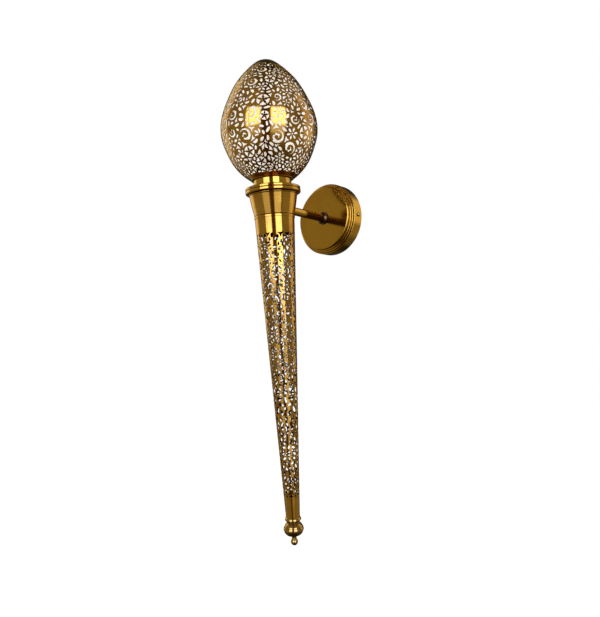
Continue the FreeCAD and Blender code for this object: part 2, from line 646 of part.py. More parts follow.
# ------------------------------------------------------------------ rim with its spigot
rr = d("rim_r")
turned("rim_ring", [
    (d("spigot_bore"), d("rim_low") + 1.2), (d("cup_lip_r") - 2.1, d("rim_low") + 1.2),
    (d("cup_lip_r") - 0.6, d("rim_low") + 0.05), (rr - 2.2, d("rim_low") + 0.05, 0.22),
    (rr, d("rim_low") + 1.9), (rr, d("rim_crease") - 1.4, 0.22), (rr - 1.3, d("rim_crease") - 0.1),
    (rr - 1.3, d("rim_crease") + 0.1, 0.22), (rr - 0.2, d("rim_crease") + 1.2),
    (rr - 0.2, d("rim_high") - 1.3, 0.22), (rr - 1.8, d("rim_high")),
    (d("neck_r") + 1.6, d("rim_seat") - 0.5), (d("neck_r") + 0.5, d("rim_seat") - 0.1),
    (d("spigot_r"), d("rim_seat") - 0.1), (d("spigot_r"), d("spigot_top") - 0.5),
    (d("spigot_r") - 0.5, d("spigot_top")), (d("spigot_bore"), d("spigot_top")),
])

# ------------------------------------------------------------------ shade
turned("shade_neck", [
    (d("neck_bore"), d("rim_seat")), (d("neck_r") - 0.3, d("rim_seat")),
    (d("neck_r"), d("rim_seat") + 0.3), (d("neck_r"), d("neck_top") - 0.4),
    (d("neck_r") - 0.4, d("neck_top")), (d("neck_bore"), d("neck_top")),
])
# outline of the egg, as shares of the height from foot to top and of the largest radius
EGG = [(0.0431, 0.5806), (0.0926, 0.6991), (0.1420, 0.7870), (0.2409, 0.9041), (0.3398, 0.9827),
       (0.4056, 1.0), (0.4882, 0.9814), (0.5876, 0.9068), (0.6865, 0.7989), (0.7854, 0.6631),
       (0.8348, 0.5712), (0.8843, 0.4620), (0.9343, 0.3369), (0.9711, 0.2264), (0.9903, 0.1200)]


def egg_points(inset):
    """The egg's outline from foot to top, moved in by a share of the wall's thickness."""
    rise = d("shade_top") - d("shade_foot")
    shares = [(0.0, values["shade_foot_r"] / values["shade_r"])] + EGG + [(1.0, 0.0)]
    xy = [(r * values["shade_r"], q * rise.value) for q, r in shares]
    out = []
    for i, (q, r) in enumerate(shares):
        (x0, y0), (x1, y1) = xy[max(i - 1, 0)], xy[min(i + 1, len(xy) - 1)]
        n = math.hypot(x1 - x0, y1 - y0)
        out.append((d("shade_r") * r - d("shade_wall") * (inset * (y1 - y0) / n),
                    d("shade_foot") + rise * q + d("shade_wall") * (inset * (x1 - x0) / n)))
    return out


# pressed in two halves, joined at the widest line
outer, inner = egg_points(0.0), egg_points(1.0)
belly = 1 + [r for q, r in EGG].index(1.0)
outer[belly] = (d("shade_r"), d("shade_belly"))
inner[belly] = (d("shade_r") - d("shade_wall"), d("shade_belly"))
inner[0] = (d("shade_foot_r") - d("shade_wall") - 0.4, d("shade_foot") + 0.6)
outer[0] = (d("shade_foot_r"), d("shade_foot"))
outer[-1], inner[-1] = (0, d("shade_top")), (0, d("shade_top") - d("shade_wall"))
turned("shade_lower", [
    (d("neck_bore"), d("neck_top")), (d("shade_foot_r") - 0.9, d("neck_top"), 0.15),
] + arcs_through(outer[:belly + 1]) + [
    outer[belly],
] + arcs_through(inner[belly::-1]) + [
    inner[0], (d("neck_bore"), d("shade_foot") + 0.6),
])
turned("shade_upper", arcs_through(outer[belly:-2]) + [
    outer[-3] + (cap_bulge(outer[-3], outer[-1]),), outer[-1],
    inner[-1] + (-cap_bulge(inner[-3], inner[-1]),),
] + arcs_through(inner[-3:belly - 1:-1]) + [
    inner[belly],
])

# ------------------------------------------------------------------ stem
cap_r = d("cap_r")
turned("stem_cap", [
    (d("nipple_r") + 0.2, -cf - 0.1 - d("cap_thick")), (d("stem_top_r") - 3.0, -cf - 0.1 - d("cap_thick")),
    (d("stem_top_r") - 3.0, -d("stem_top") - d("cap_spigot")),
    (d("stem_top_r") - 2.0, -d("stem_top") - d("cap_spigot")),
    (d("stem_top_r") - 1.35, -d("stem_top")), (cap_r - 1.0, -d("stem_top")),
    (cap_r - 0.25, -d("stem_top"), 0.2), (cap_r, -d("stem_top") + 0.9), (cap_r, -cf - 1.5, 0.2),
    (cap_r - 1.1, -cf - 0.1), (d("nipple_r") + 0.2, -cf - 0.1),
])
turned("stem", [
    (d("stem_top_r") - d("stem_wall"), -d("stem_top")), (d("stem_top_r"), -d("stem_top")),
    (d("stem_foot_r"), -d("stem_foot")), (d("stem_foot_r") - d("stem_wall"), -d("stem_foot")),
])
turned("stem_bush", [
    (0, -d("bush_top")), (d("stem_foot_r") - d("stem_wall") - 0.05, -d("bush_top")),
    (d("stem_foot_r") - d("stem_wall") - 0.05, -d("stem_foot")), (d("stud_r"), -d("stem_foot")),
    (d("stud_r"), -d("stud_end") + 0.6), (d("stud_r") - 0.6, -d("stud_end")), (0, -d("stud_end")),
])
bl = d("bead_low")
turned("bead_ring", [
    (d("stud_r") + 0.15, -d("stem_foot")), (d("stem_foot_r"), -d("stem_foot"), -0.10),
    (d("bead_r"), -d("stem_foot") - 2.2, -0.30), (d("bead_r") - 0.5, -d("stem_foot") - 4.6, -0.05),
    (d("groove_r") + 0.4, -bl), (d("stud_r") + 0.15, -bl),
])
vz, vr, bz = d("vase_z"), d("vase_r"), d("ball_z")
turned("finial", [
    (0, -d("stud_end") - 1.5), (d("stud_r") + 0.05, -d("stud_end") - 0.6), (d("stud_r") + 0.05, -bl - 0.05),
    (d("groove_r") + 0.1, -bl - 0.05), (d("groove_r"), -bl - 1.5, -0.06), (vr - 3.1, -vz + 6.4),
    (vr - 2.7, -vz + 5.9), (vr - 2.2, -vz + 5.9, -0.08), (vr - 1.1, -vz + 3.6), (vr - 1.0, -vz + 3.0),
    (vr - 0.5, -vz + 3.0, -0.14), (vr - 0.6, -vz - 3.4, -0.17), (d("ball_neck_r") + 1.6, -vz - 9.3),
    (d("ball_neck_r") + 0.9, -vz - 10.2, 0.16), (d("ball_neck_r") - 0.3, -vz - 12.6, 0.05),
    (d("ball_neck_r") - 0.2, -bz + 4.05, -0.32), (0.5, -bz - d("ball_r")),
    (0, -bz - d("ball_r")),
])

# ------------------------------------------------------------------ lampholder
turned("holder_nipple", [
    (d("nipple_bore"), -d("nipple_low")), (d("nipple_r"), -d("nipple_low")),
    (d("nipple_r"), d("nipple_top")), (d("nipple_bore"), d("nipple_top")),
])
hr_, hw_ = d("holder_r"), d("holder_wall")
turned("lampholder_body", [
    (d("nipple_r"), d("holder_low")), (hr_ - 1.0, d("holder_low")), (hr_, d("holder_low") + 1.0),
    (hr_, d("holder_top") - 0.8), (hr_ - 0.8, d("holder_top")), (hr_ - hw_, d("holder_top")),
    (hr_ - hw_, d("nipple_top") + 3.0), (d("nipple_r") + 2.0, d("nipple_top")), (d("nipple_r"), d("nipple_top")),
])
turned("lampholder_core", [
    (0, d("nipple_top") + 3.0), (hr_ - hw_, d("nipple_top") + 3.0),
    (hr_ - hw_, d("holder_top") - 1.5), (d("thread_r") + d("thread_wall"), d("holder_top") - 1.5),
    (d("thread_r") + d("thread_wall"), d("thread_low") - 1.6), (0, d("thread_low") - 1.6),
])
turned("lampholder_thread", [
    (d("thread_r"), d("thread_low")), (d("thread_r") + d("thread_wall"), d("thread_low")),
    (d("thread_r") + d("thread_wall"), d("thread_top")), (d("thread_r"), d("thread_top")),
])
turned("lampholder_contact", [
    (0, d("thread_low") - 1.6), (5.0, d("thread_low") - 1.6), (5.0, d("thread_low") - 1.1),
    (2.4, d("thread_low") - 0.6), (1.6, d("thread_low") + 0.3), (0, d("thread_low") + 0.4),
])

# ------------------------------------------------------------------ bulb
cr, bc = d("bulb_cap_r"), d("bulb_cap_top")
ring_steps = []
for i in range(6):
    z = values["bulb_tip"] + 5.4 + 2.82 * i
    ring_steps += [(cr - 0.7, d("bulb_tip") + (z - values["bulb_tip"])),
                   (cr, d("bulb_tip") + (z - values["bulb_tip"] + 1.41))]
turned("bulb_cap", [
    (0, d("bulb_tip") + 2.0), (cr - 3.0, d("bulb_tip") + 2.0), (cr - 1.6, d("bulb_tip") + 4.2),
] + ring_steps + [
    (cr - 0.2, d("bulb_tip") + 22.6), (cr + 1.6, d("bulb_tip") + 25.0), (cr + 1.6, bc),
    (cr + 0.6, bc), (cr + 0.6, d("bulb_tip") + 25.4), (cr - 1.2, d("bulb_tip") + 23.0),
    (cr - 1.6, d("bulb_tip") + 6.0), (0, d("bulb_tip") + 4.4),
])
turned("bulb_contact", [
    (0, d("bulb_tip")), (1.4, d("bulb_tip") + 0.2), (2.2, d("bulb_tip") + 1.0), (2.2, d("bulb_tip") + 2.0),
    (0, d("bulb_tip") + 2.0),
])
br, zc, gw = d("bulb_r"), d("bulb_z"), d("bulb_wall")
glass_neck = [(cr + 0.6, bc), (10.6, 64.0), (15.6, 71.0)]
glass_neck_in = [(14.8, 71.5), (9.8, 64.6), (cr + 0.6 - gw, bc)]
ball, ball_in = (br - 3.2, zc - 11.6), (br - 4.05, zc - 11.3)
crown, crown_in = (0, zc + br), (0, zc + br - gw)
turned("bulb_glass", [
    (cr + 0.6 - gw, bc - 0.8), (cr + 0.6, bc - 0.8),
] + arcs_through(glass_neck) + [
    glass_neck[-1], ball + (cap_bulge(ball, crown),), crown,
    crown_in + (-cap_bulge(ball_in, crown_in),), ball_in,
] + arcs_through(glass_neck_in) + [
    glass_neck_in[-1],
])

# ------------------------------------------------------------------ checks, then one file per piece
doc.recompute()
bad = [o.Name for o in doc.Objects if "Invalid" in o.State or "Error" in o.State]
if bad:
    raise RuntimeError("these objects failed: %s" % bad)
for name, piece in pieces.items():
    shape = piece.Shape
    if shape.isNull() or not shape.isValid() or not shape.Solids or shape.Volume <= 0:
        raise RuntimeError("%s has no valid solid" % name)
if len(pieces) > 60:
    raise RuntimeError("too many pieces")
for name, piece in pieces.items():
    piece.Shape.exportStep("parts/%s.step" % name)
whole = FreeCAD.BoundBox()
for piece in pieces.values():
    whole.add(piece.Shape.BoundBox)
print("pieces: %d, solids: %d" % (len(pieces), sum(len(p.Shape.Solids) for p in pieces.values())))
print("box: X %.1f..%.1f  Y %.1f..%.1f  Z %.1f..%.1f" % (whole.XMin, whole.XMax, whole.YMin, whole.YMax,
                                                         whole.ZMin, whole.ZMax))
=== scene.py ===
import math
import random

import bpy
import numpy as np
from mathutils import Matrix, Vector
from mathutils.geometry import delaunay_2d_cdt


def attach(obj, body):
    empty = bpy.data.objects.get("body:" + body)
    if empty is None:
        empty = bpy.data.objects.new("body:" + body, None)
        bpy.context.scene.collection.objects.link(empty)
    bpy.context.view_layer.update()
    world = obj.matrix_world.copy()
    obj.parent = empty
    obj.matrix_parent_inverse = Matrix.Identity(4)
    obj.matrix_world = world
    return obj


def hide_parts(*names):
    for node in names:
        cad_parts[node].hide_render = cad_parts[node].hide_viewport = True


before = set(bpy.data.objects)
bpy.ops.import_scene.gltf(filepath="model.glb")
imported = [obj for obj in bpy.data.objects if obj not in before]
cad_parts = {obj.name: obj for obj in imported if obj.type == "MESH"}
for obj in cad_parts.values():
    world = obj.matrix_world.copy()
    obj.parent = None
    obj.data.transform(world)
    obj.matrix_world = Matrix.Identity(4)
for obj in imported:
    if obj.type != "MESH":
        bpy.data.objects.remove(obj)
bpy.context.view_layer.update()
MM = 0.001
LEAN = math.radians(5.0)
ARM = 144.0

# ------------------------------------------------------------------ camera
A, E, ROLL = math.radians(42.5075), math.radians(-8.5572), math.radians(-0.3128)
back = Vector((math.sin(A) * math.cos(E), -math.cos(A) * math.cos(E), math.sin(E)))
side = Vector((math.cos(A), math.sin(A), 0.0))
top = back.cross(side)
right = side * math.cos(ROLL) + top * math.sin(ROLL)
up = top * math.cos(ROLL) - side * math.sin(ROLL)
camera = bpy.data.objects.new("camera", bpy.data.cameras.new("camera"))
camera.data.lens, camera.data.sensor_width = 32.972, 36.0
camera.data.shift_x, camera.data.shift_y = 0.0, -0.0834684
camera.data.clip_start, camera.data.clip_end = 0.05, 60.0
turn3 = Matrix((right, up, back)).transposed().to_4x4()
camera.matrix_world = Matrix.Translation(Vector((0.59999, -0.74015, -0.20574))) @ turn3
bpy.context.scene.collection.objects.link(camera)
bpy.context.scene.camera = camera
bpy.context.scene.view_settings.view_transform = "Standard"
bpy.context.scene.view_settings.look = "None"

FACING = Vector((math.sin(A), -math.cos(A), 0.0))


# ------------------------------------------------------------------ turned surfaces
def smooth_line(points, n=3000):
    """A natural cubic spline through (r, s) points, evenly spaced along its length."""
    p = np.array(points, float)
    t = np.r_[0, np.cumsum(np.hypot(*np.diff(p, axis=0).T))]
    m = len(p)
    h = np.diff(t)
    a = np.zeros((m, m))
    rhs = np.zeros((m, 2))
    a[0, 0] = a[-1, -1] = 1
    for i in range(1, m - 1):
        a[i, i - 1], a[i, i], a[i, i + 1] = h[i - 1], 2 * (h[i - 1] + h[i]), h[i]
        rhs[i] = 6 * ((p[i + 1] - p[i]) / h[i] - (p[i] - p[i - 1]) / h[i - 1])
    k = np.linalg.solve(a, rhs)
    q = np.linspace(0, t[-1], n)
    i = np.clip(np.searchsorted(t, q, side="right") - 1, 0, m - 2)
    u, w, hh = q - t[i], t[i + 1] - q, h[i]
    out = np.zeros((n, 2))
    for c in (0, 1):
        out[:, c] = ((k[i, c] * w ** 3 + k[i + 1, c] * u ** 3) / (6 * hh)
                     + (p[i, c] / hh - k[i, c] * hh / 6) * w + (p[i + 1, c] / hh - k[i + 1, c] * hh / 6) * u)
    return out


class Turned:
    """A surface of revolution about the torch's axis, measured by v, the outline's length over its radius."""

    def __init__(self, line):
        self.r, self.s = line[:, 0], line[:, 1]
        d = np.hypot(np.diff(self.r), np.diff(self.s))
        self.v = np.r_[0, np.cumsum(d / (0.5 * (self.r[1:] + self.r[:-1])))]
        dr, ds = np.gradient(self.r), np.gradient(self.s)
        n = np.hypot(dr, ds)
        self.nr, self.ns = ds / n, -dr / n

    def v_of_s(self, s):
        return float(np.interp(s, self.s, self.v))

    def radius(self, v):
        return np.interp(v, self.v, self.r)

    def at(self, th, v):
        """Points, outward normals, directions round and along, in the torch's own frame."""
        r, s = np.interp(v, self.v, self.r), np.interp(v, self.v, self.s)
        nr, ns = np.interp(v, self.v, self.nr), np.interp(v, self.v, self.ns)
        k = np.hypot(nr, ns)
        nr, ns = nr / k, ns / k
        c, q = np.cos(th), np.sin(th)
        z = np.zeros_like(c)
        return (np.stack([r * c, r * q, s], 1), np.stack([nr * c, nr * q, ns], 1),
                np.stack([-q, c, z], 1), np.stack([-ns * c, -ns * q, nr], 1))


def to_row(p):
    """From the torch's own frame in millimetres to the row frame in metres."""
    c, s = math.cos(LEAN), math.sin(LEAN)
    p = np.asarray(p, float)
    return np.stack([p[:, 0], -ARM + p[:, 1] * c - p[:, 2] * s, p[:, 1] * s + p[:, 2] * c], 1) * MM


def to_row_dir(p):
    c, s = math.cos(LEAN), math.sin(LEAN)
    return np.stack([p[:, 0], p[:, 1] * c - p[:, 2] * s, p[:, 1] * s + p[:, 2] * c], 1)


# ------------------------------------------------------------------ pierced pattern
def apart(strokes, X, Y):
    """Distance to a union of tapered strokes, negative inside."""
    best = np.full(X.shape, 1e9)
    for st in strokes:
        if len(st) == 1:
            best = np.minimum(best, np.hypot(X - st[0][0], Y - st[0][1]) - st[0][2])
        for (ax, ay, ac), (bx, by, bc) in zip(st[:-1], st[1:]):
            dx, dy = bx - ax, by - ay
            t = np.clip(((X - ax) * dx + (Y - ay) * dy) / max(dx * dx + dy * dy, 1e-9), 0, 1)
            best = np.minimum(best, np.hypot(X - ax - t * dx, Y - ay - t * dy) - (ac + t * (bc - ac)))
    return best


def placed(strokes, angle=0.0, scale=1.0, flip=False):
    c, s = math.cos(angle) * scale, math.sin(angle) * scale
    m = -1 if flip else 1
    return [[(m * (a * c - b * s), a * s + b * c, w * scale) for a, b, w in st] for st in strokes]


class Openwork:
    """How far each point of the sheet is from the nearest hole, in millimetres; negative inside a hole.
    The sheet is unrolled so that small shapes keep their form; rows go along it, columns round one repeat."""

    def __init__(self, turned, v_low, v_high, repeats, cell, margin, cap=9.0):
        self.t, self.lo, self.hi, self.repeats = turned, v_low, v_high, repeats
        self.P = 2 * math.pi / repeats
        self.nc = int(round(self.P * float(turned.r.max()) / cell))
        self.h = self.P / self.nc
        self.nr = int(round((v_high - v_low) / self.h)) + 1
        self.k = (v_high - v_low) / (self.nr - 1)
        self.rows = v_low + self.k * np.arange(self.nr)
        self.cols = self.h * np.arange(self.nc)
        self.rad = turned.radius(self.rows)
        self.cap = cap
        self.D = np.full((self.nr, self.nc), cap)
        edge = np.minimum(self.rows - v_low, v_high - self.rows) * self.rad
        self.edge = (edge - margin)[:, None]
        self.used = np.zeros((self.nr, self.nc), bool)

    def span(self, x, y, reach):
        rx = min(reach, self.P / 2)
        i0, i1 = max(0, int((y - reach - self.lo) / self.k)), min(self.nr, int((y + reach - self.lo) / self.k) + 2)
        j0 = int(math.floor((x - rx) / self.h))
        j1 = min(int(math.ceil((x + rx) / self.h)) + 1, j0 + self.nc)
        jj = np.arange(j0, j1)
        X, Y = np.meshgrid(jj * self.h, self.rows[i0:i1])
        return slice(i0, i1), jj % self.nc, X, Y

    def cut(self, x, y, holes, keeps=(), web=2.0):
        r = float(self.t.radius(y))
        size = max(math.hypot(a, b) + w for st in holes for a, b, w in st)
        rows, jj, X, Y = self.span(x, y, (size + self.cap) / r)
        if X.shape[0] < 2:
            return
        X, Y = (X - x) * r, (Y - y) * r
        new = apart(holes, X, Y)
        if keeps:
            new = np.maximum(new, -apart(keeps, X, Y))
        grow = (self.rad[rows] / r)[:, None]
        new = new * grow
        old = self.D[rows][:, jj]
        new = np.maximum(new, web * grow - old)
        new = np.maximum(new, -self.edge[rows])
        self.D[rows, jj] = np.minimum(old, new)

    def value(self, x, y):
        i = min(max(int(round((y - self.lo) / self.k)), 0), self.nr - 1)
        j = int(round(x / self.h)) % self.nc
        return float(min(self.D[i, j], self.edge[i, 0] + 1.0))

    def metal_at(self, x, y):
        i = min(max(int(round((y - self.lo) / self.k)), 0), self.nr - 1)
        return float(self.D[i, int(round(x / self.h)) % self.nc])

    def block(self, x, y, size):
        r = float(self.t.radius(y))
        rows, jj, X, Y = self.span(x, y, size / r)
        self.used[rows, jj] |= np.hypot(X - x, Y - y) * r < size

    def fill(self, size_of, web_of, rng, smallest=0.8, largest=3.2, skip=0.0, lo=None, hi=None, cuts=None, limit=3000):
        """Pierces what is left: a pointed hole in each widest free place, with webs left between."""
        band = np.ones(self.nr, bool)
        if lo is not None:
            band = (self.rows >= lo) & (self.rows <= hi)
        q = size_of(self.rad)[:, None]
        for _ in range(limit):
            free = np.minimum(self.D, self.edge + 1.2 * q) / q
            free = np.where(self.used | ~band[:, None], -1, free)
            k = int(free.argmax())
            i, j = divmod(k, self.nc)
            f = float(free[i, j])
            x, y, r, qq = self.cols[j], self.rows[i], float(self.rad[i]), float(q[i, 0])
            web = web_of(rng)
            if f < smallest + web * 0.93:
                break
            if rng.random() < skip:
                self.block(x, y, f * qq)
                continue
            body = min(f - web, largest)
            strokes = [[(0, 0, body * qq)]]
            reach = (body + 0.55 * web) * qq
            looks = []
            for n in range(24):
                a = 2 * math.pi * n / 24
                p = (x + math.cos(a) * reach * 1.35 / r, y + math.sin(a) * reach * 1.35 / r)
                looks.append((self.value(*p), a))
            picked = []
            for d, a in sorted(looks, reverse=True):
                if d > 0.5 * web * qq and all(abs((a - b + math.pi) % (2 * math.pi) - math.pi) > 1.2 for _, b in picked):
                    picked.append((d, a))
                if len(picked) == 3:
                    break
            for d, a in picked:
                far = reach + min(d, 2.6 * qq)
                strokes.append([(0, 0, body * qq * 0.9), (far * math.cos(a), far * math.sin(a), 0.22 * qq)])
            before = self.D[i, j]
            for cx, flip in (cuts or (lambda c: [(c, False)]))(x):
                self.cut(cx, y, placed(strokes, flip=flip), web=web * qq)
                if self.D[i, j] >= before - 1e-6:
                    self.block(x, y, 0.8 * qq)
                self.block(cx, y, 0.5 * qq)


def leaves(work, size_of, rng, tries, long, wide, web, lean, lo, hi):
    """Pierces leaf-shaped holes wherever one fits whole."""
    for _ in range(tries):
        x, y = rng.random() * work.P, lo + rng.random() * (hi - lo)
        r = float(work.t.radius(y))
        q = float(size_of(r))
        L, w = rng.uniform(*long) * q / 2, rng.uniform(*wide) * q
        a, bend = lean(rng), rng.uniform(-0.45, 0.45)
        gap = web * q
        if work.value(x, y) < w + 0.9 * gap:
            continue
        dx, dy = math.sin(a), math.cos(a)
        st = []
        for k in range(7):
            t = k / 3 - 1
            off = bend * L * (1 - t * t)
            st.append((L * t * dx + off * dy, L * t * dy - off * dx, w * (1 - t * t) ** 0.75 + 0.16 * q))
        if all(work.value(x + px / r, y + py / r) > pw + 0.75 * gap for px, py, pw in st):
            work.cut(x, y, [st], web=gap)


def outlines(D, level):
    """Lines where D equals level, on a grid whose last column repeats the first, in grid units."""
    V = np.c_[D, D[:, :1]] - level
    V[V == 0] = 1e-6
    nr, nc = V.shape
    inside = V > 0
    code = (inside[:-1, :-1] * 1 + inside[:-1, 1:] * 2 + inside[1:, 1:] * 4 + inside[1:, :-1] * 8)
    pairs = {1: [(3, 0)], 2: [(0, 1)], 3: [(3, 1)], 4: [(1, 2)], 6: [(0, 2)], 7: [(3, 2)], 8: [(2, 3)],
             9: [(0, 2)], 11: [(1, 2)], 12: [(1, 3)], 13: [(0, 1)], 14: [(3, 0)]}
    links, where = {}, {}

    def crossing(i, j, e):
        if e == 0:
            key = (i, j, 0)
        elif e == 2:
            key = (i + 1, j, 0)
        elif e == 3:
            key = (i, j, 1)
        else:
            key = (i, j + 1, 1)
        if key not in where:
            a = V[key[0], key[1]]
            b = V[key[0], key[1] + 1] if key[2] == 0 else V[key[0] + 1, key[1]]
            t = a / (a - b)
            where[key] = (key[0], key[1] + t) if key[2] == 0 else (key[0] + t, key[1])
        return key

    for i, j in zip(*np.nonzero((code > 0) & (code < 15))):
        i, j, c = int(i), int(j), int(code[i, j])
        if c in (5, 10):
            mid = V[i, j] + V[i, j + 1] + V[i + 1, j] + V[i + 1, j + 1] > 0
            segs = [(3, 2), (0, 1)] if (c == 5) == mid else [(3, 0), (1, 2)]
        else:
            segs = pairs[c]
        for e, f in segs:
            a, b = crossing(i, j, e), crossing(i, j, f)
            links.setdefault(a, []).append(b)
            links.setdefault(b, []).append(a)
    done, lines = set(), []
    starts = [k for k, n in links.items() if len(n) == 1] + list(links)
    for s in starts:
        if s in done:
            continue
        line, prev, at = [s], None, s
        done.add(s)
        while True:
            nxt = [n for n in links[at] if n != prev and (n not in done or (n == s and len(line) > 2))]
            if not nxt:
                break
            prev, at = at, nxt[0]
            if at == s:
                line.append(s)
                break
            done.add(at)
            line.append(at)
        lines.append(np.array([where[k] for k in line]))
    return lines


def thinned(p, tol):
    """Fewer points along a line, none further than tol from it. p: columns y, x, and the local size."""
    n = len(p)
    keep = np.zeros(n, bool)
    closed = np.allclose(p[0], p[-1])
    keep[0] = keep[-1] = True
    stack = [(0, n - 1)]
    if closed:
        far = int(np.argmax(np.hypot(*(p[:, :2] - p[0, :2]).T)))
        keep[far] = True
        stack = [(0, far), (far, n - 1)]
    while stack:
        a, b = stack.pop()
        if b - a < 2:
            continue
        q, d = p[a + 1:b, :2] - p[a, :2], p[b, :2] - p[a, :2]
        L = math.hypot(*d)
        off = np.abs(q[:, 0] * d[1] - q[:, 1] * d[0]) / L if L > 1e-9 else np.hypot(*q.T)
        off = off * p[a + 1:b, 2]
        m = int(off.argmax())
        if off[m] > tol or (b - a > 3 and L * p[a, 2] > 3.4):
            if off[m] <= tol:
                m = (b - a) // 2 - 1
            keep[a + 1 + m] = True
            stack += [(a, a + 1 + m), (a + 1 + m, b)]
    return p[keep]


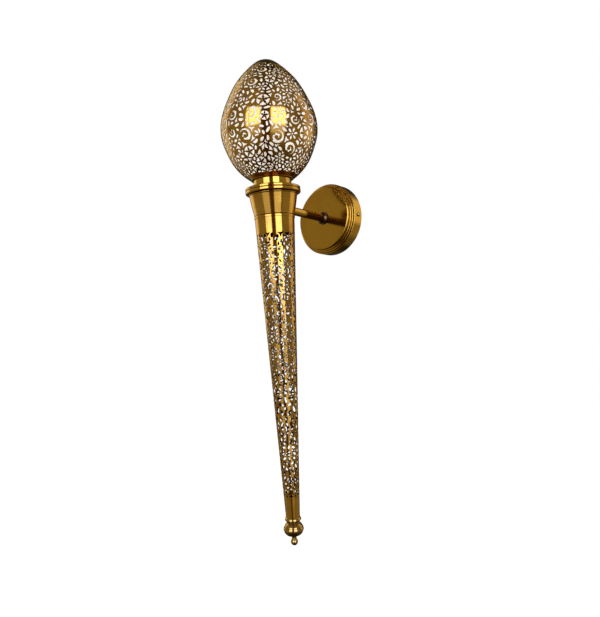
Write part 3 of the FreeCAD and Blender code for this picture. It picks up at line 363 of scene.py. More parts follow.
def pierced_mesh(name, work, wall, bevel, tol, spacing, border, low_rings=None, crown=False, phase=0.0,
                 painted_shade_above=1e9, painted_shade_below=-1e9):
    """A sheet of the given wall with the pattern's holes cut through it, its edges eased."""
    P, t = work.P, work.t
    pts, lines = [], []
    index = {}

    def add(x, y):
        key = (round(x, 7), round(y, 7))
        if key not in index:
            index[key] = len(pts)
            pts.append((x, y))
        return index[key]

    left = set()
    for line in outlines(work.D, bevel):
        y = work.lo + line[:, 0] * work.k
        x = line[:, 1] * work.h
        p = np.stack([y, x, t.radius(y)], 1)
        p = thinned(p, tol)
        closed = np.allclose(p[0], p[-1])
        if closed and len(p) < 5:
            continue
        ids = [add(min(max(xx, 0.0), P), yy) for yy, xx, _ in p]
        lines += [(a, b) for a, b in zip(ids[:-1], ids[1:]) if a != b]
        if not closed:
            for e in (ids[0], ids[-1]):
                left.add(round(pts[e][1], 7))
    # the two sides of the repeat
    j0 = work.D[:, 0] > bevel
    marks = sorted(left)
    ys = [work.lo] + marks + [work.hi]
    for a, b in zip(ys[:-1], ys[1:]):
        mid = int(round(((a + b) / 2 - work.lo) / work.k))
        if not j0[min(mid, work.nr - 1)]:
            continue
        n = max(1, int(math.ceil((b - a) * float(t.radius((a + b) / 2)) / (spacing * 1.1))))
        cuts = [a + (b - a) * i / n for i in range(n + 1)]
        for x in (0.0, P):
            ids = [add(x, c) for c in cuts]
            lines += list(zip(ids[:-1], ids[1:]))
    for y in (work.lo, work.hi):
        ids = [add(P * i / border, y) for i in range(border + 1)]
        lines += list(zip(ids[:-1], ids[1:]))
    # points inside the metal
    y = work.lo
    row = 0
    while True:
        step = spacing * 0.87 / float(t.radius(y))
        y += step
        row += 1
        if y > work.hi - step * 0.6:
            break
        r = float(t.radius(y))
        n = max(4, int(round(P * r / spacing)))
        for i in range(n):
            x = P * (i + (0.5 if row % 2 else 0.0)) / n
            if 0.5 * spacing < x * r and (P - x) * r > 0.5 * spacing and work.metal_at(x, y) > max(0.9, 0.25 * spacing) * min(1.0, r / 30):
                add(x, y)
    big = 10.0
    vs, es, fs, ov, oe, of_ = delaunay_2d_cdt([Vector((a * big, b * big)) for a, b in pts], lines, [], 0, 1e-6, True)
    V = np.array([(v.x / big, v.y / big) for v in vs])
    F = np.array([f for f in fs if len(f) == 3], int)
    a, b, c = V[F[:, 0]], V[F[:, 1]], V[F[:, 2]]
    area = ((b[:, 0] - a[:, 0]) * (c[:, 1] - a[:, 1]) - (b[:, 1] - a[:, 1]) * (c[:, 0] - a[:, 0])) / 2
    F[area < 0] = F[area < 0][:, ::-1]
    # group triangles between the drawn lines, then keep the groups in the metal
    walls = {tuple(sorted(e)) for e, o in zip(es, oe) if len(o)}
    parent = list(range(len(F)))

    def root(i):
        while parent[i] != i:
            parent[i] = parent[parent[i]]
            i = parent[i]
        return i

    owner = {}
    for i, f in enumerate(F.tolist()):
        for e in ((f[0], f[1]), (f[1], f[2]), (f[2], f[0])):
            e = (min(e), max(e))
            if e in walls:
                continue
            if e in owner:
                parent[root(i)] = root(owner[e])
            else:
                owner[e] = i
    groups = np.array([root(i) for i in range(len(F))])
    cen = V[F].mean(1)
    ii = np.clip(((cen[:, 1] - work.lo) / work.k).round().astype(int), 0, work.nr - 1)
    jj = (cen[:, 0] / work.h).round().astype(int) % work.nc
    score = {}
    w = np.abs(area)
    for g, s in zip(groups, (work.D[ii, jj] - bevel) * w):
        score[g] = score.get(g, 0.0) + s
    F = F[np.array([score[g] > 0 for g in groups])]
    # all the repeats, joined
    n0 = len(V)
    l_ids = [i for i in range(n0) if V[i, 0] < 1e-6]
    r_ids = [i for i in range(n0) if V[i, 0] > P - 1e-6]
    by_y = sorted(l_ids, key=lambda i: V[i, 1])
    match = {}
    for i in r_ids:
        match[i] = min(by_y, key=lambda k: abs(V[k, 1] - V[i, 1]))
    tri, th, vv = [], [], []
    for k in range(work.repeats):
        ids = np.arange(n0) + k * n0
        for i, m in match.items():
            ids[i] = m + ((k + 1) % work.repeats) * n0
        tri.append(ids[F])
        th.append(V[:, 0] + k * P + phase)
        vv.append(V[:, 1])
    tri, th, vv = np.concatenate(tri), np.concatenate(th), np.concatenate(vv)
    used = np.unique(tri)
    new = np.full(len(th), -1)
    new[used] = np.arange(len(used))
    tri, th, vv = new[tri], th[used], vv[used]
    n = len(th)
    base, nrm, ero, eal = t.at(th, vv)
    # the way to the nearest hole
    gy, gx = np.gradient(np.c_[work.D[:, -1:], work.D, work.D[:, :1]])
    gx, gy = gx[:, 1:-1] / work.h, gy[:, 1:-1] / work.k
    ii = np.clip(((vv - work.lo) / work.k).round().astype(int), 0, work.nr - 1)
    jj = ((th - phase) / work.h).round().astype(int) % work.nc
    g = np.stack([-gx[ii, jj], -gy[ii, jj]], 1)
    g /= np.maximum(np.hypot(*g.T), 1e-9)[:, None]
    hole = ero * g[:, :1] + eal * g[:, 1:]
    edges = {}
    for f in tri.tolist():
        for e in ((f[0], f[1]), (f[1], f[2]), (f[2], f[0])):
            edges[e] = edges.get(e, 0) + 1
    rim, low, high = [], [], []
    for (p, q) in edges:
        if (q, p) in edges:
            continue
        if abs(vv[p] - work.lo) < 1e-6 and abs(vv[q] - work.lo) < 1e-6:
            low.append((p, q))
        elif abs(vv[p] - work.hi) < 1e-6 and abs(vv[q] - work.hi) < 1e-6:
            high.append((p, q))
        else:
            rim.append((p, q))
    at_rim = np.unique(np.array(rim).ravel()) if rim else np.zeros(0, int)
    ease = bevel
    co = [base]
    nn = [nrm]
    inner = np.arange(n) + n
    inn = base - nrm * wall
    shift = np.zeros((n, 3))
    shift[at_rim] = hole[at_rim] * ease
    co.append(inn + shift)
    mid = {int(p): 2 * n + i for i, p in enumerate(at_rim)}
    co.append(base[at_rim] + hole[at_rim] * ease - nrm[at_rim] * ease * 0.85)
    faces, normals, finish = [], [], []
    out_n = nrm

    def face(ids, ns, which=0):
        faces.append(ids)
        normals.extend(ns)
        finish.append(which)

    for f in tri.tolist():
        face(f, [out_n[i] for i in f])
    for f in tri.tolist():
        # inside faces outside the band between the two height limits take finish 1, near black: painted shade inside
        # the tube
        face([f[2] + n, f[1] + n, f[0] + n], [-out_n[i] for i in f[::-1]], 2 if painted_shade_below < base[f[0], 2] < painted_shade_above else 1)
    soft = 0.72 * nrm + 0.69 * hole
    # the holes' walls take finish 1, near black: painted shade inside each hole, partly a darkened cut edge
    for p, q in rim:
        face([q, p, mid[p], mid[q]], [soft[q], soft[p], hole[p], hole[q]])
        face([mid[q], mid[p], p + n, q + n], [hole[q], hole[p], hole[p], hole[q]], 1)
    extra = []

    def ring(th_list, r, s):
        first = 2 * n + len(at_rim) + sum(len(e) for e in extra)
        extra.append(np.stack([r * np.cos(th_list), r * np.sin(th_list), np.full(len(th_list), s)], 1))
        return [first + i for i in range(len(th_list))]

    def chain(pairs):
        nxt = dict(pairs)
        start = pairs[0][0]
        out, at = [start], nxt[start]
        while at != start:
            out.append(at)
            at = nxt[at]
        return out

    if low:
        loop = chain(low)
        ths = th[loop]
        rings = [(loop, None)]
        for r, s in low_rings or []:
            rings.append((ring(ths, r, s), (r, s)))
        rings.append(([i + n for i in loop], None))
        flat = np.array([0, 0, -1.0])
        m = len(loop)
        prs = []
        for (ida, pa), (idb, pb) in zip(rings[:-1], rings[1:]):
            ra = (math.hypot(*(co[0][loop[0]][:2])), co[0][loop[0]][2]) if pa is None else pa
            rb = (math.hypot(*(co[1][loop[0]][:2])), co[1][loop[0]][2]) if pb is None else pb
            dr, ds = rb[0] - ra[0], rb[1] - ra[1]
            L = math.hypot(dr, ds) or 1.0
            nr_, ns_ = -ds / L, dr / L
            prs.append((ida, idb, nr_, ns_))
        for ida, idb, nr_, ns_ in prs:
            for i in range(m):
                j = (i + 1) % m
                na = np.array([nr_ * math.cos(ths[i]), nr_ * math.sin(ths[i]), ns_])
                nb = np.array([nr_ * math.cos(ths[j]), nr_ * math.sin(ths[j]), ns_])
                face([ida[j], ida[i], idb[i], idb[j]], [nb, na, na, nb])
    if high:
        loop = chain(high)
        ths = th[loop]
        m = len(loop)
        if not crown:
            for i in range(m):
                j = (i + 1) % m
                z = np.array([0, 0, 1.0])
                face([loop[j], loop[i], loop[i] + n, loop[j] + n], [z, z, z, z])
        else:
            r0 = float(t.radius(work.hi))
            s_at = lambda r: float(np.interp(-r, -t.r[t.v >= work.hi - 1e-9], t.s[t.v >= work.hi - 1e-9]))
            nr_at = lambda r: float(np.interp(-r, -t.r[t.v >= work.hi - 1e-9], t.nr[t.v >= work.hi - 1e-9]))
            prev_o, prev_i, pr = loop, [i + n for i in loop], r0
            for step in range(1, 9):
                r = r0 * (1 - step / 8.6)
                a_, b_ = nr_at(r), 0.0
                b_ = math.sqrt(max(0.0, 1 - a_ * a_))
                o = ring(ths, r, s_at(r))
                q = ring(ths, max(r - a_ * wall, 0.2), s_at(r) - b_ * wall)
                pa = nr_at(pr)
                pb = math.sqrt(max(0.0, 1 - pa * pa))
                for i in range(m):
                    j = (i + 1) % m
                    N = [np.array([a0 * math.cos(ths[k]), a0 * math.sin(ths[k]), b0]) for a0, b0, k in
                         ((pa, pb, j), (pa, pb, i), (a_, b_, i), (a_, b_, j))]
                    face([prev_o[j], prev_o[i], o[i], o[j]], N)
                    face([prev_i[i], prev_i[j], q[j], q[i]], [-N[1], -N[0], -N[3], -N[2]], 2)
                prev_o, prev_i, pr = o, q, r
            z = np.array([0, 0, 1.0])
            tip = 2 * n + len(at_rim) + sum(len(e) for e in extra)
            extra.append(np.array([[0, 0, t.s[-1]], [0, 0, t.s[-1] - wall]]))
            for i in range(m):
                j = (i + 1) % m
                face([prev_o[j], prev_o[i], tip], [z, z, z])
                face([prev_i[i], prev_i[j], tip + 1], [-z, -z, -z], 2)
    co = np.concatenate(co + extra)
    mesh = bpy.data.meshes.new(name)
    mesh.from_pydata(to_row(co).tolist(), [], faces)
    mesh.polygons.foreach_set("use_smooth", np.ones(len(faces), bool))
    mesh.polygons.foreach_set("material_index", np.array(finish, np.int32))
    N = to_row_dir(np.array(normals))
    N /= np.maximum(np.linalg.norm(N, axis=1), 1e-9)[:, None]
    mesh.update()
    mesh.normals_split_custom_set(N.tolist())
    obj = bpy.data.objects.new(name, mesh)
    bpy.context.scene.collection.objects.link(obj)
    print(name, "vertices", len(co), "faces", len(faces), "holes' edges", len(rim), "open",
          round(float(((work.D < 0) * work.rad[:, None] ** 2).sum() / (np.ones_like(work.D) * work.rad[:, None] ** 2).sum()), 3))
    return obj


# ------------------------------------------------------------------ motifs
def spiral(R, a0, hand, turns, fat=1.0):
    st = []
    for i in range(20):
        t = i / 19
        a = a0 + hand * 2 * math.pi * turns * t
        rad = R * (1.04 - 0.80 * t ** 0.92)
        st.append((rad * math.cos(a), rad * math.sin(a), R * fat * (0.150 - 0.035 * t)))
    bud = [(st[-1][0] * 0.72, st[-1][1] * 0.72, R * 0.215 * fat)]
    leaves = []
    for t, out in ((0.17, 0.30), (0.36, 0.27), (0.56, 0.2)):
        i = int(t * 19)
        x, y, w = st[i]
        L = math.hypot(x, y)
        ux, uy = x / L, y / L
        vx, vy = -uy * hand, ux * hand
        leaves.append([(x, y, w), (x - R * out * 0.75 * (ux - 0.55 * vx), y - R * out * 0.75 * (uy - 0.55 * vy), w * 1.05),
                       (x - R * out * (ux - 1.5 * vx), y - R * out * (uy - 1.5 * vy), w * 0.25)])
    return [st, bud] + leaves


def rosette(R, n, a0):
    out = [[(0, 0, 0.20 * R)]]
    for k in range(n):
        a = a0 + 2 * math.pi * k / n
        c, s = math.cos(a), math.sin(a)
        wide = 0.205 if n < 6 else 0.17
        out.append([(0.1 * R * c, 0.1 * R * s, 0.10 * R), (0.45 * R * c, 0.45 * R * s, wide * R),
                    (0.70 * R * c, 0.70 * R * s, 0.11 * R), (1.05 * R * c, 1.05 * R * s, 0.085 * R)])
    return out


def petals(R, n, a0):
    out = [[(0, 0, 0.13 * R)]]
    for k in range(n):
        a = a0 + 2 * math.pi * k / n
        c, s = math.cos(a), math.sin(a)
        out.append([(0.34 * R * c, 0.34 * R * s, 0.06 * R), (0.66 * R * c, 0.66 * R * s, 0.175 * R),
                    (0.86 * R * c, 0.86 * R * s, 0.12 * R)])
    return out


def sprig(R, a0, hand):
    """Three leaf-shaped holes along a curl."""
    out = []
    for k, (a, w) in enumerate(((-1.05, 0.17), (0.0, 0.21), (1.05, 0.17))):
        out.append([(0.22 * R * math.sin(a), -0.55 * R + 0.3 * R * math.cos(a), 0.05 * R),
                    (0.55 * R * math.sin(a), -0.35 * R + 0.6 * R * math.cos(a), w * R),
                    (0.86 * R * math.sin(a + hand * 0.2), -0.3 * R + 1.02 * R * math.cos(a + hand * 0.2), 0.05 * R)])
    return placed(out, a0)


# ------------------------------------------------------------------ the shade
EGG = [(33.2, 41.4)] + [(r * 75.1, 41.4 + q * 190.1) for q, r in (
    (0.0431, 0.5806), (0.0926, 0.6991), (0.1420, 0.7870), (0.2409, 0.9041), (0.3398, 0.9827),
    (0.4056, 1.0), (0.4882, 0.9814), (0.5876, 0.9068), (0.6865, 0.7989), (0.7854, 0.6631),
    (0.8348, 0.5712), (0.8843, 0.4620), (0.9343, 0.3369), (0.9711, 0.2264), (0.9903, 0.1200))]
EGG[-2:] = [(17.0, 226.0), (9.0, 230.0)]
line = smooth_line(EGG + [(0.0, 231.45), (-9.0, 230.0)])
line = line[:int(np.argmin(np.abs(line[:, 0] - 0.02) + (line[:, 1] < 200) * 100)) + 1]
line[:, 0] = np.minimum(line[:, 0], 75.0) * 0.999
egg = Turned(line)

rng = random.Random(41)
shade = Openwork(egg, 0.0, egg.v_of_s(225.6), 3, 0.55, margin=5.2)
shade.edge[:] = np.minimum(np.minimum((shade.rows - shade.lo) * shade.rad - 7.0,
                                      (shade.hi - shade.rows) * shade.rad - 2.0), 50.0)[:, None]


def egg_size(r):
    return (np.asarray(r) / 75.0) ** 0.55


spots = []
for size in (9.6, 8.4, 7.2, 6.4):
    for _ in range(260):
        x = rng.random() * shade.P
        y = shade.lo + rng.random() * (shade.hi - shade.lo)
        r = float(egg.radius(y))
        R = size * float(egg_size(r)) * (0.94 + 0.12 * rng.random())
        if (y - shade.lo) * r < R + 8.5 or (shade.hi - y) * r < R + 13:
            continue
        ok = True
        for a, b, c in spots:
            dx = abs(x - a)
            dx = min(dx, shade.P - dx)
            rr = 0.5 * (r + float(egg.radius(b)))
            if math.hypot(dx, y - b) * rr < R + c + 3.0 * float(egg_size(r)):
                ok = False
                break
        if ok:
            spots.append((x, y, R))
for i, (x, y, R) in enumerate(spots):
    kind = rng.random()
    q = float(egg_size(egg.radius(y)))
    a0 = rng.random() * 2 * math.pi
    if kind < 0.34:
        shade.cut(x, y, [[(0, 0, R)]], spiral(R, a0, rng.choice((1, -1)), 1.0 + 0.15 * rng.random(), 1.45), web=2.2 * q)
    elif kind < 0.50:
        shade.cut(x, y, [[(0, 0, R * 0.96)]], rosette(R * 1.02, 5, a0), web=2.2 * q)
    elif kind < 0.78:
        shade.cut(x, y, petals(R * 1.02, rng.choice((5, 6)), a0), web=2.0 * q)
    else:
        shade.cut(x, y, sprig(R, a0, rng.choice((1, -1))), web=2.0 * q)
v_tip = egg.v_of_s(212.0)
leaves(shade, egg_size, rng, 9000, (7.0, 9.8), (1.65, 2.15), 2.9, lambda g: g.uniform(-1.6, 1.6), shade.lo, v_tip)
leaves(shade, egg_size, rng, 9000, (5.0, 7.4), (1.3, 1.75), 2.6, lambda g: g.uniform(-1.6, 1.6), shade.lo, v_tip)
shade.fill(egg_size, lambda g: 2.3 + 0.6 * g.random(), rng, smallest=0.75, largest=1.9, skip=0.16, lo=shade.lo, hi=v_tip)
print("egg spots", len(spots))
shade_piece = pierced_mesh("shade_filigree", shade, wall=0.8, bevel=0.25, tol=0.085, spacing=4.6, border=40, crown=True,
                           low_rings=[(32.95, 40.85), (32.3, 40.6), (27.8, 40.6), (27.8, 41.9), (31.4, 42.0)],
                           phase=math.radians(20))

# ------------------------------------------------------------------ the stem
stem_line = np.stack([np.linspace(10.34, 30.43, 3000), np.linspace(-460.0, -19.5, 3000)], 1)
tube = Turned(stem_line)
rng = random.Random(7)
stem = Openwork(tube, 0.0, float(tube.v[-1]), 3, 0.42, margin=0.0)
v_first, v_last = tube.v_of_s(-430.0), tube.v_of_s(-42.5)
v_join = tube.v_of_s(-262.0)
stem.edge[:] = np.minimum(np.minimum((stem.rows - v_first) * stem.rad, (v_last - stem.rows) * stem.rad), 50.0)[:, None]
U = stem.P / 10        # ten units to a mirrored repeat
AXIS = math.atan2(-math.cos(A) / math.cos(LEAN), math.sin(A))    # the mirror axis that faces the camera


def both(x, y, strokes, web=0.75, flip_too=True):
    """Cuts at every mirrored place round the stem; x, y and the strokes are in units."""
    r = float(tube.radius(y)) * U
    for flip in ((False, True) if (flip_too and abs(x) > 1e-6 and abs(abs(x) - 5) > 1e-6) else (False,)):
        xx = (-x if flip else x) * U
        wider = [[(a, b, w * 1.08) for a, b, w in st] for st in strokes]
        stem.cut(xx % stem.P, y, placed(wider, scale=r, flip=flip), web=web * r)


def mirrored(shapes, on_axis):
    out = []
    for st in shapes:
        out.append((st, True))
    for st in on_axis:
        out.append((st, False))
    return out


ROWS = {
    "crown": (12.5, [[(1.9, 5.9, 0.42), (2.9, 5.2, 0.72), (3.4, 4.0, 0.4)], [(1.5, 2.6, 0.42), (2.7, 2.3, 0.72), (3.6, 3.0, 0.32)],
                     [(1.25, -0.2, 0.38), (2.5, 0.45, 0.62)], [(1.3, -3.6, 0.72), (1.9, -2.3, 0.38)], [(3.5, -1.3, 0.55), (3.9, -2.9, 0.72)]],
              [[(-1.15, 5.7, 0.6), (0, 4.55, 0.8), (1.15, 5.7, 0.6)], [(0, 2.9, 0.42), (0, 1.1, 0.72), (0, 0.3, 0.4)],
               [(0, -1.6, 0.72), (0, -2.6, 0.35)], [(0, -5.1, 0.62), (0, -6.2, 0.3)]],
              [[(5, 5.9, 0.35), (5, 4.9, 0.68)], [(5, 1.3, 0.72), (5, -0.4, 0.35)], [(5, -4.9, 0.45), (5, -5.6, 0.75)]]),
    "ovals": (10.5, [[(1.0, 3.9, 0.45), (1.05, 2.2, 0.78)], [(2.8, 4.5, 0.5), (3.3, 3.2, 0.7)], [(2.6, 0.6, 0.75), (3.4, 1.3, 0.3)],
                     [(1.5, -1.3, 0.6), (2.3, -0.9, 0.25)], [(2.6, -3.6, 0.78), (3.7, -2.6, 0.35)], [(0.95, -3.6, 0.7), (1.35, -4.8, 0.42)]],
              [[(0, 0.3, 0.6), (0, -0.3, 0.45)]],
              [[(5, 2.2, 0.75), (5, 0.5, 0.35)], [(5, -1.6, 0.7), (5, -2.2, 0.45)], [(5, 4.9, 0.5)]]),
    "spear": (13.0, [[(1.6, 5.4, 0.4), (2.3, 4.0, 0.75), (2.1, 2.7, 0.35)], [(3.9, 5.2, 0.62), (3.6, 4.2, 0.35)],
                     [(1.5, 1.0, 0.3), (2.6, 0.7, 0.72)], [(3.9, 1.9, 0.35), (4.2, 0.6, 0.5)], [(1.25, -1.9, 0.4), (1.5, -3.2, 0.75)],
                     [(3.3, -1.4, 0.45), (3.5, -2.9, 0.72), (3.0, -3.9, 0.35)], [(2.1, -5.3, 0.62), (3.1, -5.6, 0.3)]],
              [[(0, 5.2, 0.3), (0, 3.2, 0.95), (0, 1.2, 0.32)], [(0, -0.6, 0.35), (0, -1.4, 0.5)],
               [(-0.75, -4.6, 0.6), (0, -5.4, 0.5), (0.75, -4.6, 0.6)]],
              [[(5, 3.3, 0.7), (5, 2.4, 0.35)], [(5, -1.0, 0.62), (5, -2.4, 0.35)], [(5, -4.6, 0.72), (5, -5.4, 0.35)]]),
}
y = v_first + 0.35
order = ["ovals", "crown", "spear", "crown", "ovals", "spear", "crown", "ovals", "crown", "spear"]
n = 0
while True:
    tall, sides, middle, edges = ROWS[order[n % len(order)]]
    mid = y + tall / 2 * U
    if y + tall * U > v_join + 1.0:
        break
    for st in sides:
        both_x = sum(p[0] for p in st) / len(st)
        yc = sum(p[1] for p in st) / len(st)
        both(both_x, mid + yc * U, [[(a - both_x, b - yc, w) for a, b, w in st]])
    for st in middle + edges:
        cx = sum(p[0] for p in st) / len(st)
        yc = sum(p[1] for p in st) / len(st)
        both(cx, mid + yc * U, [[(a - cx, b - yc, w) for a, b, w in st]])
    y += tall * U
    n += 1
v_join = y


def mirror_cuts(x):
    return [(x % stem.P, False), ((-x) % stem.P, True)]


def stem_size(r):
    return (np.asarray(r) / 30.0) ** 0.65


stem.fill(stem_size, lambda g: 3.1, rng, smallest=1.3, largest=3.0, lo=v_first, hi=v_join, cuts=mirror_cuts, limit=40)
# above: loose foliage
spots = []
for size in (8.6, 7.4):
    for _ in range(110):
        x, y = rng.random() * stem.P, v_join + rng.random() * (v_last - v_join)
        r = float(tube.radius(y))
        R = size * r / 30 * (0.92 + 0.16 * rng.random())
        if (v_last - y) * r < R * 0.9:
            continue
        if all(math.hypot(min(abs(x - a), stem.P - abs(x - a)), y - b) * r > R + c * r / rr + 3.0 * r / 30 for a, b, c, rr in spots):
            spots.append((x, y, R, r))
for x, y, R, r in spots:
    kind, a0, q = rng.random(), rng.random() * 2 * math.pi, r / 30
    if kind < 0.30:
        stem.cut(x, y, [[(0, 0, R)]], spiral(R, a0, rng.choice((1, -1)), 1.0 + 0.15 * rng.random(), 1.22), web=2.5 * q)
    elif kind < 0.52:
        stem.cut(x, y, petals(R * 1.05, 5, a0), web=2.3 * q)
    elif kind < 0.86:
        stem.cut(x, y, sprig(R * 1.15, a0, rng.choice((1, -1))), web=2.3 * q)
    else:
        stem.cut(x, y, [[(0, 0, R * 0.96)]], rosette(R, 4, a0), web=2.3 * q)
leaves(stem, stem_size, rng, 7000, (9.5, 13.5), (2.2, 3.1), 2.7, lambda g: g.uniform(-0.6, 0.6), v_join, v_last)
leaves(stem, stem_size, rng, 7000, (6.0, 8.5), (1.6, 2.2), 2.3, lambda g: g.uniform(-0.8, 0.8), v_join - 0.1, v_last)
stem.fill(stem_size, lambda g: 2.0 + 0.6 * g.random(), rng, smallest=0.95, largest=2.4, skip=0.14, lo=v_join - 0.1, hi=v_last)
print("stem spots", len(spots))
# the stem's inside above -58 mm and below -255 mm is coloured near black as painted shade
stem_piece = pierced_mesh("stem_filigree", stem, wall=1.0, bevel=0.18, tol=0.07, spacing=3.6, border=32, phase=AXIS,
                          low_rings=[], painted_shade_above=-58.0, painted_shade_below=-255.0)


# ------------------------------------------------------------------ materials
def nodes_of(mat):
    mat.use_nodes = True
    nt = mat.node_tree
    return nt, nt.nodes, nt.links, nt.nodes["Principled BSDF"]


def math_node(N, L, op, a, b=None, c=None):
    m = N.new("ShaderNodeMath")
    m.operation = op
    for i, v in enumerate((a, b, c)):
        if v is None:
            continue
        if isinstance(v, (int, float)):
            m.inputs[i].default_value = v
        else:
            L.new(v, m.inputs[i])
    return m.outputs[0]


def turned_coords(N, L, kind, fine, slow):
    """A coordinate that runs fast along the outline and slowly round the axis, like a lathe's marks."""
    tc = N.new("ShaderNodeTexCoord")
    mp = N.new("ShaderNodeMapping")
    mp.vector_type = "POINT"
    if kind == "torch":
        mp.inputs["Location"].default_value = (0, ARM * MM * math.cos(LEAN), -ARM * MM * math.sin(LEAN))
        mp.inputs["Rotation"].default_value = (-LEAN, 0, 0)
    else:
        mp.inputs["Rotation"].default_value = (math.pi / 2, 0, 0)
    L.new(tc.outputs["Object"], mp.inputs["Vector"])
    sp = N.new("ShaderNodeSeparateXYZ")
    L.new(mp.outputs[0], sp.inputs[0])
    x, y, z = sp.outputs
    r = math_node(N, L, "SQRT", math_node(N, L, "ADD", math_node(N, L, "MULTIPLY", x, x), math_node(N, L, "MULTIPLY", y, y)))
    ux = math_node(N, L, "DIVIDE", x, math_node(N, L, "MAXIMUM", r, 0.0005))
    uy = math_node(N, L, "DIVIDE", y, math_node(N, L, "MAXIMUM", r, 0.0005))
    along = math_node(N, L, "ADD", z, math_node(N, L, "MULTIPLY", r, 0.9))
    cb = N.new("ShaderNodeCombineXYZ")
    L.new(math_node(N, L, "MULTIPLY", ux, slow), cb.inputs[0])
    L.new(math_node(N, L, "MULTIPLY", uy, slow), cb.inputs[1])
    L.new(math_node(N, L, "MULTIPLY", along, fine), cb.inputs[2])
    return cb.outputs[0], tc.outputs["Object"]


def noise(N, L, vec, scale, detail=3.0, rough=0.5):
    n = N.new("ShaderNodeTexNoise")
    n.inputs["Scale"].default_value = scale
    n.inputs["Detail"].default_value = detail
    n.inputs["Roughness"].default_value = rough
    L.new(vec, n.inputs["Vector"])
    return n.outputs["Fac"]


def ramp(N, L, fac, stops):
    c = N.new("ShaderNodeValToRGB")
    c.color_ramp.elements[0].position, c.color_ramp.elements[0].color = stops[0][0], (*stops[0][1], 1)
    c.color_ramp.elements[1].position, c.color_ramp.elements[1].color = stops[-1][0], (*stops[-1][1], 1)
    for p, col in stops[1:-1]:
        c.color_ramp.elements.new(p).color = (*col, 1)
    L.new(fac, c.inputs[0])
    return c.outputs[0]


def span_of(N, L, fac, lo, hi, a, b):
    m = N.new("ShaderNodeMapRange")
    m.inputs[1].default_value, m.inputs[2].default_value = lo, hi
    m.inputs[3].default_value, m.inputs[4].default_value = a, b
    L.new(fac, m.inputs[0])
    return m.outputs[0]


def metal(name, light, mid, dark, rough, kind="torch", grain=0.35, coat=0.55, wear=True, slow=3.0, fine=1500.0, patina=0.35,
          wave=0.25, specks_=1.0):
    mat = bpy.data.materials.new(name)
    nt, N, L, B = nodes_of(mat)
    vec, obj = turned_coords(N, L, kind, fine, slow)
    marks = noise(N, L, vec, 1.0, 4.0, 0.62)
    cloud = noise(N, L, obj, 34.0, 4.0, 0.55)
    specks = noise(N, L, obj, 420.0, 3.0, 0.6)
    base = ramp(N, L, cloud, [(0.28, dark), (0.5, mid), (0.72, light)])
    mixed = N.new("ShaderNodeMix")
    mixed.data_type = "RGBA"
    mixed.blend_type = "MULTIPLY"
    mixed.inputs[0].default_value = patina
    L.new(base, mixed.inputs[6])
    L.new(ramp(N, L, marks, [(0.30, (0.62, 0.56, 0.45)), (0.60, (1.0, 1.0, 1.0))]), mixed.inputs[7])
    colour = mixed.outputs[2]
    if wear:
        geo = N.new("ShaderNodeNewGeometry")
        edge = span_of(N, L, geo.outputs["Pointiness"], 0.46, 0.54, 0.0, 1.0)
        worn = N.new("ShaderNodeMix")
        worn.data_type = "RGBA"
        L.new(ramp(N, L, edge, [(0.0, (0.0, 0.0, 0.0)), (0.35, (0.0, 0.0, 0.0)), (1.0, (0.55, 0.55, 0.55))]), worn.inputs[0])
        L.new(colour, worn.inputs[6])
        worn.inputs[7].default_value = (min(light[0] * 1.12, 1), min(light[1] * 1.2, 1), light[2] * 1.8, 1)
        colour = worn.outputs[2]
    L.new(colour, B.inputs["Base Color"])
    B.inputs["Metallic"].default_value = 1.0
    rr = math_node(N, L, "ADD", span_of(N, L, marks, 0.3, 0.7, rough * 0.82, rough * 1.28),
                   span_of(N, L, specks, 0.35, 0.75, -0.02 * specks_, 0.05 * specks_))
    L.new(rr, B.inputs["Roughness"])
    B.inputs["Coat Weight"].default_value = coat
    B.inputs["Coat Roughness"].default_value = 0.07
    b1 = N.new("ShaderNodeBump")
    b1.inputs["Strength"].default_value = grain
    b1.inputs["Distance"].default_value = 0.00003
    L.new(marks, b1.inputs["Height"])
    b2 = N.new("ShaderNodeBump")
    b2.inputs["Strength"].default_value = wave
    b2.inputs["Distance"].default_value = 0.00006
    L.new(noise(N, L, obj, 160.0, 2.0, 0.5), b2.inputs["Height"])
    L.new(b1.outputs[0], b2.inputs["Normal"])
    L.new(b2.outputs[0], B.inputs["Normal"])
    return mat


GOLD = ((0.86, 0.435, 0.026), (0.80, 0.385, 0.020), (0.70, 0.315, 0.014))
polished = metal("polished_brass", *GOLD, rough=0.095, grain=0.22, coat=1.0, wave=0.14)
plate_brass = metal("plate_brass", *GOLD, rough=0.11, kind="plate", grain=0.05, fine=1300.0, coat=0.6, patina=0.16, wave=0.04,
                    specks_=0.4)
arm_brass = metal("arm_brass", *GOLD, rough=0.12, kind="plate", grain=0.04, fine=900.0, coat=0.8, patina=0.12, wave=0.03, specks_=0.3)
openwork = metal("openwork_brass", (0.88, 0.46, 0.030), (0.78, 0.385, 0.022), (0.52, 0.215, 0.014), rough=0.105, grain=0.14, coat=1.0,
                 patina=0.35, fine=700.0, wave=0.12, wear=False, specks_=0.6)
aged = metal("aged_brass", (0.70, 0.41, 0.075), (0.60, 0.33, 0.050), (0.42, 0.21, 0.028), rough=0.13, grain=0.25, coat=0.8, wave=0.12)
dark = metal("dark_brass", (0.30, 0.16, 0.05), (0.20, 0.10, 0.035), (0.12, 0.06, 0.025), rough=0.22, kind="plate", grain=0.12, coat=1.0,
             wave=0.06)
screw_brass = metal("screw_brass", (0.90, 0.60, 0.16), (0.84, 0.52, 0.11), (0.70, 0.38, 0.06), rough=0.14, kind="plate", grain=0.10,
                    coat=1.0, wave=0.05)
fittings = metal("brass_fittings", (0.86, 0.56, 0.20), (0.78, 0.48, 0.15), (0.62, 0.36, 0.11), rough=0.30, grain=0.5, coat=0.0)
zinc = metal("zinc_steel", (0.66, 0.67, 0.68), (0.56, 0.57, 0.58), (0.42, 0.43, 0.45), rough=0.36, kind="plate", grain=0.6, coat=0.0)
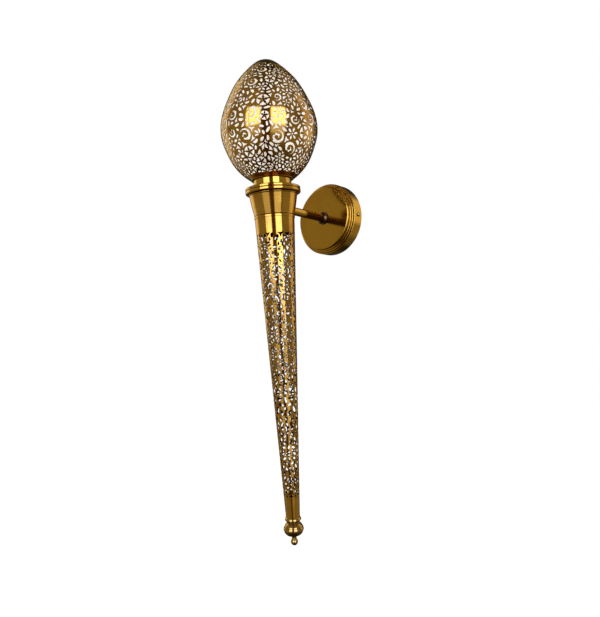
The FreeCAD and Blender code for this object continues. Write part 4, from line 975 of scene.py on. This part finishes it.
nickel = metal("nickel_cap", (0.80, 0.77, 0.71), (0.70, 0.67, 0.61), (0.52, 0.50, 0.46), rough=0.22, grain=0.5, coat=0.1)


def plastic(name, light, dark_, rough, scale, bump=0.2, coat=0.0, sss=0.0, glow=0.0):
    mat = bpy.data.materials.new(name)
    nt, N, L, B = nodes_of(mat)
    tc = N.new("ShaderNodeTexCoord")
    obj = tc.outputs["Object"]
    n1 = noise(N, L, obj, scale, 4.0, 0.55)
    n2 = noise(N, L, obj, scale * 9, 3.0, 0.6)
    L.new(ramp(N, L, n1, [(0.3, dark_), (0.7, light)]), B.inputs["Base Color"])
    L.new(span_of(N, L, n2, 0.3, 0.7, rough * 0.85, rough * 1.2), B.inputs["Roughness"])
    B.inputs["Coat Weight"].default_value = coat
    if glow:
        B.inputs["Emission Color"].default_value = (1.0, 0.95, 0.86, 1)
        B.inputs["Emission Strength"].default_value = glow
    b = N.new("ShaderNodeBump")
    b.inputs["Strength"].default_value = bump
    b.inputs["Distance"].default_value = 0.00005
    L.new(n2, b.inputs["Height"])
    L.new(b.outputs[0], B.inputs["Normal"])
    return mat


porcelain = plastic("white_porcelain", (0.83, 0.81, 0.77), (0.72, 0.70, 0.65), 0.22, 60, coat=0.7)
polyamide = plastic("black_polyamide", (0.045, 0.045, 0.048), (0.022, 0.022, 0.025), 0.42, 150, bump=0.5)
sleeve = plastic("lead_sleeve", (0.62, 0.60, 0.56), (0.5, 0.48, 0.44), 0.45, 120, bump=0.4)
earth = plastic("earth_sleeve", (0.10, 0.42, 0.08), (0.07, 0.32, 0.05), 0.42, 120, bump=0.4)
glass = plastic("frosted_glass", (0.93, 0.92, 0.90), (0.86, 0.85, 0.82), 0.34, 80, bump=0.15, glow=0.12)

# inside of the shade: a pale lacquer colour plus a painted glow (emission 0.30) that lights the holes from within,
# though the sheet is no lamp
glowing_lining = plastic("inside_lacquer_painted_glow", (0.95, 0.92, 0.86), (0.88, 0.84, 0.76), 0.42, 90, bump=0.2, glow=0.30)
tarnish = plastic("inside_tarnish", (0.50, 0.40, 0.27), (0.34, 0.26, 0.17), 0.40, 90, bump=0.3)
# near-black finish for the holes' walls and the stem's inside near its ends: partly a darkened cut edge, mostly painted
# shade
cut_edge_painted_shade = metal("cut_edge_painted_shade", (0.24, 0.12, 0.035), (0.13, 0.062, 0.02), (0.06, 0.028, 0.012), rough=0.38, grain=0.6, coat=0.0, wear=False)

FINISH = {"polished_brass": polished, "openwork_brass": openwork, "dark_brass": dark, "aged_brass": aged,
          "brass_fittings": fittings, "zinc_steel": zinc, "black_polyamide": polyamide, "white_porcelain": porcelain,
          "nickel_cap": nickel, "frosted_glass": glass, "lead_sleeve": sleeve, "earth_sleeve": earth}
for name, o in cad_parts.items():
    for sl in o.material_slots:
        key = sl.material.name.split(".")[0] if sl.material else ""
        sl.material = FINISH[key]
for name, finish in (("wall_plate", plate_brass), ("arm_tube", arm_brass), ("side_screw_left", screw_brass),
                     ("side_screw_right", screw_brass)):
    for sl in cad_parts[name].material_slots:
        sl.material = finish

for piece, body, slot, cad in ((shade_piece, "shade", "openwork_brass", ("shade_lower", "shade_upper")),
                               (stem_piece, "base", "openwork_brass", ("stem",))):
    for m in (openwork, cut_edge_painted_shade, glowing_lining if body == "shade" else tarnish):
        piece.data.materials.append(m)
    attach(piece, body)
    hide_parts(*cad)

# ------------------------------------------------------------------ surroundings
world = bpy.data.worlds.new("studio")
bpy.context.scene.world = world
world.use_nodes = True
nt = world.node_tree
N, L = nt.nodes, nt.links
N.clear()
tc = N.new("ShaderNodeTexCoord")


def dot(vec):
    m = N.new("ShaderNodeVectorMath")
    m.operation = "DOT_PRODUCT"
    L.new(tc.outputs["Generated"], m.inputs[0])
    m.inputs[1].default_value = vec
    return m.outputs["Value"]


toward, across, high = dot(FACING), dot(Vector((math.cos(A), math.sin(A), 0))), dot((0, 0, 1))
azimuth = math_node(N, L, "MULTIPLY", math_node(N, L, "ARCTAN2", across, toward), 180 / math.pi)
height = math_node(N, L, "MULTIPLY", math_node(N, L, "ARCSINE", math_node(N, L, "MINIMUM", math_node(N, L, "MAXIMUM", high, -0.9999), 0.9999)), 180 / math.pi)


def inside(value, lo, hi, soft):
    def step(at, up_):
        m = N.new("ShaderNodeMapRange")
        m.interpolation_type = "SMOOTHSTEP"
        m.inputs[1].default_value, m.inputs[2].default_value = at - soft, at + soft
        m.inputs[3].default_value, m.inputs[4].default_value = (0, 1) if up_ else (1, 0)
        L.new(value, m.inputs[0])
        return m.outputs[0]
    return math_node(N, L, "MULTIPLY", step(lo, True), step(hi, False))


def patch(az, el, soft_az, soft_el, power):
    return math_node(N, L, "MULTIPLY", math_node(N, L, "MULTIPLY", inside(azimuth, *az, soft_az), inside(height, *el, soft_el)), power)


def added(first, rest):
    for p in rest:
        first = math_node(N, L, "ADD", first, p)
    return first


fill = added(0.225, [
    patch((-15, 5), (-60, 75), 2, 8, -0.205),               # the dark gap where the camera stands
    patch((43, 48), (-30, 60), 1.5, 8, -0.14),
    patch((-150, -112), (-5, 50), 6, 6, 0.60),              # weak lights behind
    patch((92, 124), (-5, 50), 6, 6, 0.45),
])
fill = math_node(N, L, "MAXIMUM", fill, 0.012)
low = math_node(N, L, "MULTIPLY", inside(height, -31, 66, 5), 0.6)
lowest = math_node(N, L, "MULTIPLY", inside(height, -56, 90, 5), 0.28)
fill = math_node(N, L, "MULTIPLY", fill, math_node(N, L, "ADD", math_node(N, L, "ADD", low, lowest), 0.12))
boxes = added(patch((-51, -17.5), (-6.8, 33), 2.0, 2.2, 2.3), [
    patch((-45.5, -42.8), (-6.8, 33), 0.8, 3, -1.6),        # the bar in the left one
    patch((7, 41), (-6.8, 33), 2.0, 2.2, 2.6),
    patch((-51, -17.5), (-24, -6.8), 2.0, 2.2, 0.40),       # weaker light under the softboxes
    patch((7, 41), (-24, -6.8), 2.0, 2.2, 0.62),
])
behind = math_node(N, L, "MULTIPLY", inside(math_node(N, L, "ABSOLUTE", math_node(N, L, "ADD", azimuth, 8)), 146, 400, 7), -0.80)
behind = math_node(N, L, "ADD", behind, 1.0)
lp = N.new("ShaderNodeLightPath")
again = math_node(N, L, "GREATER_THAN", lp.outputs["Glossy Depth"], 1.5)
again = math_node(N, L, "SUBTRACT", 1.0, math_node(N, L, "MULTIPLY", again, 0.80))


def light(strength, colour):
    b_ = N.new("ShaderNodeBackground")
    b_.inputs["Color"].default_value = (*colour, 1)
    L.new(math_node(N, L, "MULTIPLY", math_node(N, L, "MULTIPLY", strength, behind), again), b_.inputs["Strength"])
    return b_.outputs[0]


gap = patch((-15, 5), (-60, 75), 2, 8, 0.05)
warm_gap = N.new("ShaderNodeAddShader")
both_lights = N.new("ShaderNodeAddShader")
L.new(light(fill, (1.0, 0.92, 0.60)), warm_gap.inputs[0])
L.new(light(gap, (1.0, 0.36, 0.05)), warm_gap.inputs[1])
L.new(warm_gap.outputs[0], both_lights.inputs[0])
L.new(light(math_node(N, L, "MAXIMUM", boxes, 0.0), (0.84, 1.0, 1.50)), both_lights.inputs[1])
white = N.new("ShaderNodeBackground")
white.inputs["Color"].default_value = (1, 1, 1, 1)
white.inputs["Strength"].default_value = 1.0
mix = N.new("ShaderNodeMixShader")
L.new(lp.outputs["Is Camera Ray"], mix.inputs[0])
L.new(both_lights.outputs[0], mix.inputs[1])
L.new(white.outputs[0], mix.inputs[2])
out = N.new("ShaderNodeOutputWorld")
L.new(mix.outputs[0], out.inputs["Surface"])

# floor: pale, well below the light
n = 96
verts = [(0, 0, 0)] + [(4 * math.cos(2 * math.pi * i / n), 4 * math.sin(2 * math.pi * i / n), 0) for i in range(n)]
mesh = bpy.data.meshes.new("floor")
mesh.from_pydata(verts, [], [(0, 1 + i, 1 + (i + 1) % n) for i in range(n)])
floor = bpy.data.objects.new("floor", mesh)
floor.location = (0, 0, -0.86)
bpy.context.scene.collection.objects.link(floor)
fmat = bpy.data.materials.new("floor")
nt, N, L, B = nodes_of(fmat)
B.inputs["Base Color"].default_value = (0.9, 0.9, 0.9, 1)
B.inputs["Roughness"].default_value = 0.8
B.inputs["Emission Color"].default_value = (1, 1, 1, 1)
B.inputs["Emission Strength"].default_value = 0.80
mesh.materials.append(fmat)
floor.visible_glossy = False
floor.visible_diffuse = False
